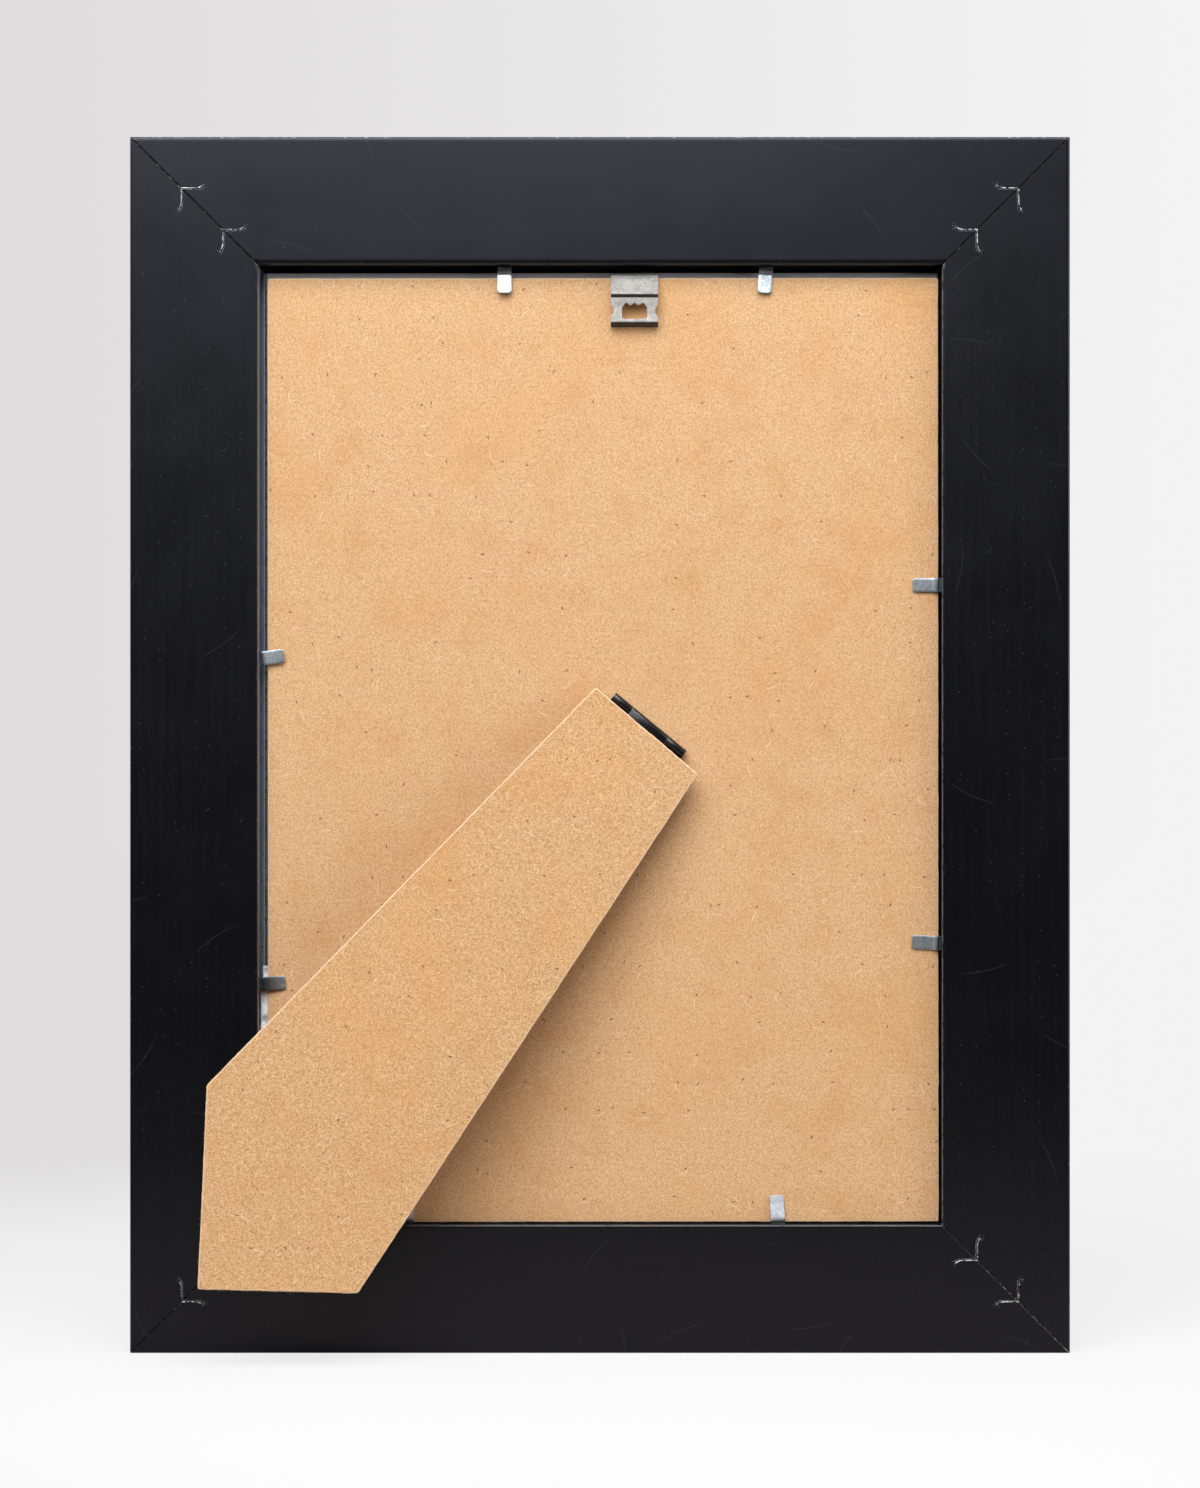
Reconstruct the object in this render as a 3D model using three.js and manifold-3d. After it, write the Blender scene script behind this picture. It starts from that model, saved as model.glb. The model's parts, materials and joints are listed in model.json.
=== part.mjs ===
// Picture frame for an A4 sheet: a mitred black moulding pinned with V-nails, a glazed rebate
// closed by a fibreboard back, bendable steel points that hold the back in, a strut leg on a
// small steel hinge, and a toothed hanger clipped over the top edge of the back.
// Millimetres, +Z up, the back faces -Y, the front faces +Y.
// The origin is the middle of the bottom rail's underside.

import * as THREE from 'three';
import { mergeVertices } from 'three/addons/utils/BufferGeometryUtils.js';
import Module from 'manifold-3d';

// Picture sheet
const PICTURE_WIDTH = 210;
const PICTURE_HEIGHT = 297;
const PICTURE_THICKNESS = 0.3;

// Moulding: back face, rebate for the picture, lip in front of the glass
const RAIL_FACE = 39.8;
const RAIL_DEPTH = 18;
const REBATE_DEPTH = 10;
const REBATE_SIDE_PLAY = 1.5;
const REBATE_END_PLAY = 1;
const LIP_REACH = 5.5;
const OUTER_ROUND = 0.8;
const INNER_ROUND = 0.4;
const FRONT_ROUND = 1.2;
const MITRE_GAP = 0.1;

// V-nails, two across each mitre with the bend towards the outer corner
const NAIL_LEG = 6.9;
const NAIL_CURL = 2.6;
const NAIL_FLARE = 0.9;
const NAIL_GAUGE = 0.4;
const NAIL_LENGTH = 10;
const NAIL_SINK = 0.1;
const OUTER_NAIL_SETBACK = 16;
const INNER_NAIL_SETBACK = 10.9;

// Glass and fibreboard back
const GLASS_THICKNESS = 2;
const GLASS_X = -0.5;
const BOARD_THICKNESS = 3;
const BOARD_SIDE_TRIM = 0.4;
const BOARD_END_TRIM = 2;
const BOARD_TILT_DEGREES = 0.05;
const BOARD_REST_GAP = 0.3;
const BOARD_SIDE_GAP = 0.6;
const LAYER_GAP = 0.1;
const PIECE_GAP = 0.3;

// Bendable steel points driven into the rebate walls
const POINT_WIDTH = 4.4;
const POINT_GAUGE = 0.4;
const POINT_EMBED = 7;
const POINT_RISE = 1.3;
const POINT_STUB = 0.4;
const POINT_BEND_GAP = 0.2;
const POINT_RAMP = 2;
const POINT_TIP_ROUND = 0.6;
const POINT_REST_GAP = 0.15;

// Each point: its distance along the rail from the rail's middle, its reach, its skew and how far
// it is bent up off the board, both in degrees
const POINTS = [
  { rail: 'top', place: 'top_left', along: 29.8, reach: 8.4, skew: 0, lift: 9 },
  { rail: 'top', place: 'top_right', along: -51.9, reach: 8.4, skew: 4, lift: 5 },
  { rail: 'right', place: 'right_upper', along: 49.9, reach: 8.9, skew: 0, lift: 0 },
  { rail: 'right', place: 'right_lower', along: -61.9, reach: 9.2, skew: 2.5, lift: 0 },
  { rail: 'bottom', place: 'bottom_right', along: 55.6, reach: 8.9, skew: -3, lift: 0 },
  { rail: 'bottom', place: 'bottom_left', along: -60.5, reach: 7.2, skew: 0, lift: 0 },
  { rail: 'left', place: 'left_lower', along: 74.8, reach: 8.4, skew: -4.2, lift: 0 },
  { rail: 'left', place: 'left_upper', along: -26.8, reach: 7.9, skew: -8, lift: 5 },
];

// Hinge of the leg: two leaves on the board side of the leg, rolled round one pin
const HINGE_X = 14.1;
const HINGE_Z = 7.6;
const HINGE_WIDTH = 28.5;
const HINGE_OFFSET = 0.5;
const MIDDLE_KNUCKLE = 14.2;
const KNUCKLE_RADIUS = 1.6;
const PIN_RADIUS = 0.75;
const PIN_PLAY = 0.15;
const LEAF_GAUGE = 0.8;
const LEAF_LENGTH = 22;
const PRONG_LENGTH = 2.4;
const PRONG_RADIUS = 0.9;
const PRONG_EDGE = 4;
const PRONG_SIDES = 4;

// Strut leg: a tapered strip with a square foot, one edge of it for upright, one for sideways
const LEG_LENGTH = 220.5;
const LEG_TOP = 1.65;
const LEG_TOP_SLANT = 1.05;
const LEG_TOP_WIDTH = 41.5;
const LEG_FLARE_DEGREES = 5.35;
const LEG_THICKNESS = 3;
const FOOT_DEGREES = 53.2;
const LEG_SKEW_DEGREES = 2.1;
const LEG_OPEN_DEGREES = 8;

// Hanger: clip over the board's top edge, ramp, step, toothed plate and a flange to the board
const HANGER_X = 9.9;
const HANGER_GAUGE = 0.6;
const CLIP_LENGTH = 6;
const RAMP_DROP = 5.35;
const RAMP_HEIGHT = 3.6;
const STEP_DROP = 1;
const PLATE_HEIGHT = 2.7;
const FLANGE_DROP = 1.2;
const SLOT_WIDTH = 7.8;
const SLOT_HEIGHT = 5;
const SLOT_SHOULDER = 1.4;
const SLOT_CORNER = 0.75;
const WEB_ABOVE = 1.8;
const WEB_BELOW = 0.9;
const WEB_SIDE = 3.45;
const TOOTH_PITCH = 2.55;
const TOOTH_DEPTH = 0.8;
const SIDE_NOTCH_RADIUS = 2.25;
const SIDE_NOTCH_DEPTH = 0.9;

// Folded paper strip in the gap beside the board
const SHIM_TOP_Z = 120.3;
const SHIM_LENGTH = 26;
const SHIM_PAPER = 0.4;
const SHIM_SINK = 0.3;

// Smoothness of arcs and round pieces
const ARC_STEPS = 4;
const ROUND_STEPS = 24;

// Finishes
const BLACK_PAINT = { color: '#232429', roughness: 0.5, metalness: 0 };
const FIBREBOARD = { color: '#d8aa74', roughness: 0.85, metalness: 0 };
const ZINC = { color: '#b6babd', roughness: 0.4, metalness: 1 };
const BLACK_STEEL = { color: '#131316', roughness: 0.3, metalness: 0.6 };
const NAIL_STEEL = { color: '#8d9095', roughness: 0.45, metalness: 1 };
const CLEAR_GLASS = { color: '#e3ece9', roughness: 0.05, metalness: 0 };
const WHITE_PAPER = { color: '#f1efe9', roughness: 0.9, metalness: 0 };

// Sizes that follow from the ones above
const OPENING_WIDTH = PICTURE_WIDTH + 2 * REBATE_SIDE_PLAY;
const OPENING_HEIGHT = PICTURE_HEIGHT + 2 * REBATE_END_PLAY;
const FRAME_WIDTH = OPENING_WIDTH + 2 * RAIL_FACE;
const FRAME_HEIGHT = OPENING_HEIGHT + 2 * RAIL_FACE;
const BACK_Y = -RAIL_DEPTH / 2;
const FRONT_Y = RAIL_DEPTH / 2;
const LIP_Y = BACK_Y + REBATE_DEPTH;
const GLASS_BACK_Y = LIP_Y - LAYER_GAP - GLASS_THICKNESS;
const SHEET_BACK_Y = GLASS_BACK_Y - LAYER_GAP - PICTURE_THICKNESS;
const BOARD_FRONT_Y = SHEET_BACK_Y - LAYER_GAP;
const BOARD_BACK_Y = BOARD_FRONT_Y - BOARD_THICKNESS;
const BOARD_WIDTH = PICTURE_WIDTH - BOARD_SIDE_TRIM;
const BOARD_HEIGHT = PICTURE_HEIGHT - BOARD_END_TRIM;

// The four sides, each laid out along its own X from the middle of its outer edge. A side holds
// the V-nails of the corner at its -X end.
const HALF_WIDTH = FRAME_WIDTH / 2;
const HALF_HEIGHT = FRAME_HEIGHT / 2;
const SIDES = [
  { name: 'bottom', turn: 0, x: 0, z: 0, length: FRAME_WIDTH, corner: 'bottom_left' },
  { name: 'right', turn: -90, x: HALF_WIDTH, z: HALF_HEIGHT, length: FRAME_HEIGHT, corner: 'bottom_right' },
  { name: 'top', turn: 180, x: 0, z: FRAME_HEIGHT, length: FRAME_WIDTH, corner: 'top_right' },
  { name: 'left', turn: 90, x: -HALF_WIDTH, z: HALF_HEIGHT, length: FRAME_HEIGHT, corner: 'top_left' },
];

const wasm = await Module();
wasm.setup();
const radians = THREE.MathUtils.degToRad;

// A closed geometry as a solid that can be cut and joined
function solid(geometry) {
  const bare = geometry.clone();
  bare.deleteAttribute('normal');
  bare.deleteAttribute('uv');
  const merged = mergeVertices(bare);
  const vertProperties = new Float32Array(merged.attributes.position.array);
  const triVerts = new Uint32Array(merged.index.array);
  return new wasm.Manifold(new wasm.Mesh({ numProp: 3, vertProperties, triVerts }));
}

// A solid as a geometry again
function geometryOf(body) {
  const mesh = body.getMesh();
  const geometry = new THREE.BufferGeometry();
  geometry.setAttribute('position', new THREE.BufferAttribute(mesh.vertProperties, 3));
  geometry.setIndex(new THREE.BufferAttribute(mesh.triVerts, 1));
  geometry.computeVertexNormals();
  return geometry;
}

function piece(name, geometry, finish) {
  const mesh = new THREE.Mesh(geometry, new THREE.MeshStandardMaterial(finish));
  mesh.name = name;
  return mesh;
}

// A block between two corners
function block(low, high) {
  const size = new THREE.Vector3().subVectors(high, low);
  const middle = new THREE.Vector3().addVectors(low, high).multiplyScalar(0.5);
  const geometry = new THREE.BoxGeometry(size.x, size.y, size.z);
  return geometry.translate(middle.x, middle.y, middle.z);
}

// An outline in X and Z, made solid from its back to its front in Y
function plate(outline, backY, frontY) {
  const geometry = new THREE.ExtrudeGeometry(outline, {
    depth: frontY - backY,
    bevelEnabled: false,
    curveSegments: ARC_STEPS,
  });
  return geometry.translate(0, 0, -frontY).rotateX(Math.PI / 2);
}

// An outline in X and Y, made solid across a width in Z
function across(outline, width) {
  const geometry = new THREE.ExtrudeGeometry(outline, {
    depth: width,
    bevelEnabled: false,
    curveSegments: ARC_STEPS,
  });
  return geometry.translate(0, 0, -width / 2);
}

// A polygon through points
function polygon(points) {
  return new THREE.Shape(points.map(([a, b]) => new THREE.Vector2(a, b)));
}

// The edge view of a bent strip of sheet: a path given a thickness, with round ends
function strip(path, gauge) {
  const points = path.map(([a, b]) => new THREE.Vector2(a, b));
  const runs = points.slice(1).map((point, i) => point.clone().sub(points[i]).normalize());
  const leftOf = (run) => new THREE.Vector2(-run.y, run.x);
  const left = [];
  const right = [];
  points.forEach((point, i) => {
    const before = leftOf(runs[Math.max(i - 1, 0)]);
    const after = leftOf(runs[Math.min(i, runs.length - 1)]);
    const offset = before.clone().add(after).multiplyScalar(gauge / 2 / (1 + before.dot(after)));
    left.push(point.clone().add(offset));
    right.unshift(point.clone().sub(offset));
  });
  const cap = (end, run) => {
    const side = leftOf(run);
    return Array.from({ length: ARC_STEPS - 1 }, (_, k) => {
      const angle = ((k + 1) * Math.PI) / ARC_STEPS;
      const reach = side.clone().multiplyScalar(Math.cos(angle));
      return reach.addScaledVector(run, Math.sin(angle)).multiplyScalar(gauge / 2).add(end);
    });
  };
  const lastCap = cap(points.at(-1), runs.at(-1));
  const firstCap = cap(points[0], runs[0].clone().negate());
  return new THREE.Shape([...left, ...lastCap, ...right, ...firstCap]);
}

// Moulding section: distance in from the outer edge, and depth
function railProfile() {
  const lipEnd = RAIL_FACE + LIP_REACH;
  const quarter = Math.PI / 2;
  const shape = new THREE.Shape();
  shape.moveTo(OUTER_ROUND, BACK_Y);
  shape.lineTo(RAIL_FACE - INNER_ROUND, BACK_Y);
  shape.absarc(RAIL_FACE - INNER_ROUND, BACK_Y + INNER_ROUND, INNER_ROUND, -quarter, 0);
  shape.lineTo(RAIL_FACE, LIP_Y);
  shape.lineTo(lipEnd, LIP_Y);
  shape.lineTo(lipEnd, FRONT_Y - FRONT_ROUND);
  shape.absarc(lipEnd - FRONT_ROUND, FRONT_Y - FRONT_ROUND, FRONT_ROUND, 0, quarter);
  shape.lineTo(FRONT_ROUND, FRONT_Y);
  shape.absarc(FRONT_ROUND, FRONT_Y - FRONT_ROUND, FRONT_ROUND, quarter, 2 * quarter);
  shape.lineTo(0, BACK_Y + OUTER_ROUND);
  shape.absarc(OUTER_ROUND, BACK_Y + OUTER_ROUND, OUTER_ROUND, 2 * quarter, 3 * quarter);
  return shape;
}

// A length of moulding along X with both ends mitred, its outer edge at Z = 0
function mitredRail(length) {
  const geometry = new THREE.ExtrudeGeometry(railProfile(), {
    depth: length,
    bevelEnabled: false,
    curveSegments: ARC_STEPS,
  });
  const position = geometry.attributes.position;
  for (let i = 0; i < position.count; i += 1) {
    const inward = position.getX(i);
    const inset = inward + MITRE_GAP * Math.SQRT1_2;
    const x = position.getZ(i) < length / 2 ? length / 2 - inset : inset - length / 2;
    position.setXYZ(i, x, position.getY(i), inward);
  }
  return geometry;
}

// Edge view of a V-nail with its bend at the origin, its legs along +X and +Z, tips curled out
function nailPath() {
  const straight = NAIL_LEG - NAIL_CURL;
  const curl = new THREE.QuadraticBezierCurve(
    new THREE.Vector2(straight, 0),
    new THREE.Vector2(straight + NAIL_CURL / 2, 0),
    new THREE.Vector2(NAIL_LEG, -NAIL_FLARE),
  );
  const leg = curl.getPoints(ARC_STEPS).map((point) => [point.x, point.y]);
  const otherLeg = leg.map(([a, b]) => [b, a]);
  return [...leg.reverse(), [0, 0], ...otherLeg];
}

function nail(clearance, backY) {
  const frontY = BACK_Y + NAIL_SINK + NAIL_LENGTH + clearance;
  return plate(strip(nailPath(), NAIL_GAUGE + 2 * clearance), backY, frontY);
}

const NAIL_PLACES = [
  { name: 'outer', setback: OUTER_NAIL_SETBACK },
  { name: 'inner', setback: RAIL_FACE - INNER_NAIL_SETBACK },
];

// Slots for the V-nails at both ends of a rail
function nailSlots(length) {
  const aboveBack = BACK_Y - OUTER_ROUND;
  return NAIL_PLACES.flatMap(({ setback }) => [
    nail(PIECE_GAP, aboveBack).translate(setback - length / 2, 0, setback),
    nail(PIECE_GAP, aboveBack).rotateY(-Math.PI / 2).translate(length / 2 - setback, 0, setback),
  ]);
}

// Steel point: X runs out of the rebate wall, Y through its thickness, Z across its width
const POINT_BEND = POINT_STUB + POINT_BEND_GAP + POINT_GAUGE / 2;
const POINT_DROP = POINT_RISE - POINT_REST_GAP - POINT_GAUGE / 2;

function pointShank() {
  const half = POINT_WIDTH / 2;
  const outline = polygon([
    [POINT_STUB, -half],
    [POINT_STUB, half],
    [half - POINT_EMBED, half],
    [-POINT_EMBED, 0],
    [half - POINT_EMBED, -half],
  ]);
  return plate(outline, -POINT_GAUGE / 2, POINT_GAUGE / 2);
}

function pointSlot() {
  const halfWidth = POINT_WIDTH / 2 + PIECE_GAP;
  const halfGauge = POINT_GAUGE / 2 + PIECE_GAP;
  const low = new THREE.Vector3(-POINT_EMBED - PIECE_GAP, -halfGauge, -halfWidth);
  const high = new THREE.Vector3(POINT_WIDTH, halfGauge, halfWidth);
  return block(low, high);
}

// The part that bends, from its bend line: a ramp down to the board, then flat on it
function pointBlade(reach) {
  const length = reach - POINT_BEND;
  const edge = strip([[0, 0], [POINT_RAMP, POINT_DROP], [length, POINT_DROP]], POINT_GAUGE);
  const half = POINT_WIDTH / 2;
  const round = POINT_TIP_ROUND;
  const plan = new THREE.Shape();
  plan.moveTo(-POINT_GAUGE, -half);
  plan.lineTo(length - round, -half);
  plan.absarc(length - round, round - half, round, -Math.PI / 2, 0);
  plan.absarc(length - round, half - round, round, 0, Math.PI / 2);
  plan.lineTo(-POINT_GAUGE, half);
  const outline = solid(plate(plan, -POINT_RISE, POINT_RISE));
  return geometryOf(solid(across(edge, 2 * POINT_WIDTH)).intersect(outline));
}

function pointGroup({ along, skew }) {
  const group = new THREE.Group();
  group.position.set(along, BOARD_BACK_Y - POINT_RISE, RAIL_FACE);
  group.rotation.y = radians(skew - 90);
  group.updateMatrix();
  return group;
}

// One side of the frame: its rail, the V-nails of its first corner and its steel points
function frameSide({ name, turn, x, z, length, corner }) {
  const side = new THREE.Group();
  side.position.set(x, 0, z);
  side.rotation.y = radians(turn);
  let rail = solid(mitredRail(length));
  nailSlots(length).forEach((slot) => {
    rail = rail.subtract(solid(slot));
  });
  POINTS.filter((point) => point.rail === name).forEach((point) => {
    const group = pointGroup(point);
    rail = rail.subtract(solid(pointSlot().applyMatrix4(group.matrix)));
    const blade = piece(`point_blade_${point.place}`, pointBlade(point.reach), ZINC);
    blade.position.x = POINT_BEND;
    blade.rotation.z = -radians(point.lift);
    group.add(piece(`point_shank_${point.place}`, pointShank(), ZINC), blade);
    side.add(group);
  });
  side.add(piece(`rail_${name}`, geometryOf(rail), BLACK_PAINT));
  NAIL_PLACES.forEach((place) => {
    const geometry = nail(0, BACK_Y + NAIL_SINK);
    const vNail = piece(`v_nail_${corner}_${place.name}`, geometry, NAIL_STEEL);
    vNail.position.set(place.setback - length / 2, 0, place.setback);
    side.add(vNail);
  });
  return side;
}

// The pane on the lip, as large as the picture, resting on the bottom wall of the rebate
function glassPane() {
  const geometry = new THREE.BoxGeometry(PICTURE_WIDTH, GLASS_THICKNESS, PICTURE_HEIGHT);
  const middleZ = RAIL_FACE + BOARD_REST_GAP + PICTURE_HEIGHT / 2;
  return geometry.translate(GLASS_X, GLASS_BACK_Y + GLASS_THICKNESS / 2, middleZ);
}

// Where the tilted board comes to rest: on the bottom wall, near the right wall
const BOARD_TILT = radians(BOARD_TILT_DEGREES);
const BOARD_SPAN = BOARD_WIDTH * Math.cos(BOARD_TILT) + BOARD_HEIGHT * Math.sin(BOARD_TILT);
const BOARD_RISE = BOARD_HEIGHT * Math.cos(BOARD_TILT) + BOARD_WIDTH * Math.sin(BOARD_TILT);
const BOARD_X = OPENING_WIDTH / 2 - BOARD_SIDE_GAP - BOARD_SPAN / 2;
const BOARD_Z = RAIL_FACE + BOARD_REST_GAP + BOARD_RISE / 2;

// Hinge frame: X along the leg away from the pin, Y to the front, Z along the pin
const HINGE_Y = -PIECE_GAP - KNUCKLE_RADIUS;
const OUTER_KNUCKLE = (HINGE_WIDTH - MIDDLE_KNUCKLE) / 2 - PIECE_GAP;
const OUTER_KNUCKLE_MIDDLE = (HINGE_WIDTH - OUTER_KNUCKLE) / 2;
const PRONG_ROOT = KNUCKLE_RADIUS - LEAF_GAUGE / 2;

function hingeGroup() {
  const group = new THREE.Group();
  group.position.set(HINGE_X, HINGE_Y, HINGE_Z);
  group.rotation.y = radians(180 - FOOT_DEGREES + LEG_SKEW_DEGREES);
  group.updateMatrix();
  return group;
}

// A round bar along the pin
function bar(radius, length, middle) {
  return new THREE.CylinderGeometry(radius, radius, length, ROUND_STEPS).rotateX(Math.PI / 2)
    .translate(0, 0, middle);
}

// Square spikes that fix a leaf, rooted inside it and pointing along +Y or -Y
function prongs(facing, clearance) {
  const length = PRONG_LENGTH + clearance;
  const middleY = facing * (PRONG_ROOT + length / 2);
  const columns = [PRONG_EDGE + KNUCKLE_RADIUS, LEAF_LENGTH - PRONG_EDGE];
  const rows = [PRONG_EDGE - HINGE_WIDTH / 2, HINGE_WIDTH / 2 - PRONG_EDGE];
  return columns.flatMap((x) => rows.map((z) => {
    const spike = new THREE.ConeGeometry(PRONG_RADIUS + clearance, length, PRONG_SIDES);
    return spike.rotateX(facing < 0 ? Math.PI : 0).translate(x, middleY, z);
  }));
}

// A leaf with its knuckles, cleared round the other leaf's knuckles
function hingeLeaf(facing, knuckles, otherKnuckles) {
  const outerFace = facing * KNUCKLE_RADIUS;
  const innerFace = facing * (KNUCKLE_RADIUS - LEAF_GAUGE);
  const low = new THREE.Vector3(0, Math.min(outerFace, innerFace), -HINGE_WIDTH / 2);
  const high = new THREE.Vector3(LEAF_LENGTH, Math.max(outerFace, innerFace), HINGE_WIDTH / 2);
  let leaf = solid(block(low, high));
  const clear = KNUCKLE_RADIUS + PIECE_GAP;
  otherKnuckles.forEach(({ length, middle }) => {
    const reach = length / 2 + PIECE_GAP;
    const from = new THREE.Vector3(-clear, -clear, middle - reach);
    const to = new THREE.Vector3(clear, clear, middle + reach);
    leaf = leaf.subtract(solid(block(from, to)));
  });
  knuckles.forEach(({ length, middle }) => {
    leaf = leaf.add(solid(bar(KNUCKLE_RADIUS, length, middle)));
  });
  leaf = leaf.subtract(solid(bar(PIN_RADIUS + PIN_PLAY, 2 * HINGE_WIDTH, 0)));
  prongs(facing, 0).forEach((spike) => {
    leaf = leaf.add(solid(spike));
  });
  return geometryOf(leaf);
}

// Leg outline from the hinge pin: slightly slanted top edge, flaring sides, square foot at the end
function legOutline() {
  const flare = Math.tan(radians(LEG_FLARE_DEGREES));
  const topHalf = LEG_TOP_WIDTH / 2;
  const lowTop = LEG_TOP + LEG_TOP_SLANT;
  const corner = (footSlope) => {
    const along = (footSlope * LEG_LENGTH - topHalf + flare * LEG_TOP) / (flare + footSlope);
    return [along, topHalf + flare * (along - LEG_TOP)];
  };
  const upright = corner(Math.tan(radians(FOOT_DEGREES)));
  const sideways = corner(1 / Math.tan(radians(FOOT_DEGREES)));
  return polygon([
    [LEG_TOP, -topHalf],
    [sideways[0], -sideways[1]],
    [LEG_LENGTH, 0],
    upright,
    [lowTop, topHalf + flare * LEG_TOP_SLANT],
  ]);
}

// Hanger in edge view from the board's top edge: Y from the board's back, Z up
const HANGER_WIDTH = SLOT_WIDTH + 2 * WEB_SIDE;
const STEP_END = -RAMP_DROP - STEP_DROP;
const PLATE_END = STEP_END - WEB_ABOVE - SLOT_HEIGHT - WEB_BELOW;

function hangerEdge() {
  const half = HANGER_GAUGE / 2;
  const clipY = BOARD_THICKNESS - half;
  const overTop = PIECE_GAP + half;
  return strip([
    [clipY, -CLIP_LENGTH],
    [clipY, overTop],
    [-overTop, overTop],
    [-RAMP_HEIGHT, -RAMP_DROP],
    [-PLATE_HEIGHT, STEP_END],
    [-PLATE_HEIGHT, PLATE_END],
    [-overTop, PLATE_END - FLANGE_DROP],
  ], HANGER_GAUGE);
}

// The nail slot: three notches between teeth along its top, and clipped lower corners
function hangerSlot() {
  const top = STEP_END - WEB_ABOVE;
  const bottom = top - SLOT_HEIGHT;
  const half = SLOT_WIDTH / 2;
  const notches = [-1, 0, 1].map((step) => [step * TOOTH_PITCH, top]);
  const teeth = [-0.5, 0.5].map((step) => [step * TOOTH_PITCH, top - TOOTH_DEPTH]);
  return polygon([
    [-half, top - SLOT_SHOULDER],
    notches[0],
    teeth[0],
    notches[1],
    teeth[1],
    notches[2],
    [half, top - SLOT_SHOULDER],
    [half, bottom + SLOT_CORNER],
    [half - SLOT_CORNER, bottom],
    [SLOT_CORNER - half, bottom],
    [-half, bottom + SLOT_CORNER],
  ]);
}

function hangerGeometry() {
  const toSide = new THREE.Matrix4().makeBasis(
    new THREE.Vector3(0, 1, 0),
    new THREE.Vector3(0, 0, 1),
    new THREE.Vector3(1, 0, 0),
  );
  const behind = -RAMP_HEIGHT - HANGER_GAUGE;
  let hanger = solid(across(hangerEdge(), HANGER_WIDTH).applyMatrix4(toSide));
  hanger = hanger.subtract(solid(plate(hangerSlot(), behind, 0)));
  const notchX = HANGER_WIDTH / 2 + SIDE_NOTCH_RADIUS - SIDE_NOTCH_DEPTH;
  const notchZ = STEP_END - WEB_ABOVE - SLOT_HEIGHT / 2;
  [-notchX, notchX].forEach((x) => {
    const radius = SIDE_NOTCH_RADIUS;
    const cutter = new THREE.CylinderGeometry(radius, radius, -behind, ROUND_STEPS);
    hanger = hanger.subtract(solid(cutter.translate(x, behind / 2, notchZ)));
  });
  return geometryOf(hanger);
}

// The back with everything fixed to it, from the middle of the board's back face
function backAssembly() {
  const back = new THREE.Group();
  back.position.set(BOARD_X, BOARD_BACK_Y, BOARD_Z);
  back.rotation.y = -BOARD_TILT;

  const hinge = hingeGroup();
  const outerKnuckles = [-1, 1].map((end) => ({
    length: OUTER_KNUCKLE,
    middle: end * OUTER_KNUCKLE_MIDDLE,
  }));
  const middleKnuckles = [{ length: MIDDLE_KNUCKLE, middle: 0 }];

  const top = BOARD_HEIGHT / 2;
  const halfHanger = HANGER_WIDTH / 2 + PIECE_GAP;
  const recessY = BOARD_THICKNESS - HANGER_GAUGE - PIECE_GAP;
  const recessZ = top - CLIP_LENGTH - HANGER_GAUGE;
  const recess = block(
    new THREE.Vector3(HANGER_X - halfHanger, recessY, recessZ),
    new THREE.Vector3(HANGER_X + halfHanger, BOARD_THICKNESS + HANGER_GAUGE, top + HANGER_GAUGE),
  );
  let board = solid(block(
    new THREE.Vector3(-BOARD_WIDTH / 2, 0, -top),
    new THREE.Vector3(BOARD_WIDTH / 2, BOARD_THICKNESS, top),
  ));
  board = board.subtract(solid(recess));
  prongs(1, PIECE_GAP).forEach((pocket) => {
    board = board.subtract(solid(pocket.applyMatrix4(hinge.matrix)));
  });
  back.add(piece('backing_board', geometryOf(board), FIBREBOARD));

  // The sheet lies flush with the board's right and bottom edges and shows past the other two
  const sheetY = SHEET_BACK_Y - BOARD_BACK_Y;
  const sheet = block(
    new THREE.Vector3(BOARD_WIDTH / 2 - PICTURE_WIDTH, sheetY, -top),
    new THREE.Vector3(BOARD_WIDTH / 2, sheetY + PICTURE_THICKNESS, PICTURE_HEIGHT - top),
  );
  back.add(piece('insert_sheet', sheet, WHITE_PAPER));

  const hanger = piece('hanger', hangerGeometry(), ZINC);
  hanger.position.set(HANGER_X, 0, top);
  back.add(hanger);

  const swing = new THREE.Group();
  swing.rotation.z = -radians(LEG_OPEN_DEGREES);
  const legFront = -KNUCKLE_RADIUS - PIECE_GAP;
  const strut = plate(legOutline(), legFront - LEG_THICKNESS, legFront);
  let leg = solid(strut.translate(0, 0, HINGE_OFFSET));
  prongs(-1, PIECE_GAP).forEach((pocket) => {
    leg = leg.subtract(solid(pocket));
  });
  swing.add(
    piece('leg', geometryOf(leg), FIBREBOARD),
    piece('hinge_leaf_leg', hingeLeaf(-1, middleKnuckles, outerKnuckles), BLACK_STEEL),
  );
  hinge.add(
    piece('hinge_leaf_board', hingeLeaf(1, outerKnuckles, middleKnuckles), BLACK_STEEL),
    piece('hinge_pin', bar(PIN_RADIUS, HINGE_WIDTH, 0), BLACK_STEEL),
    swing,
  );
  back.add(hinge);
  return back;
}

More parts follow.
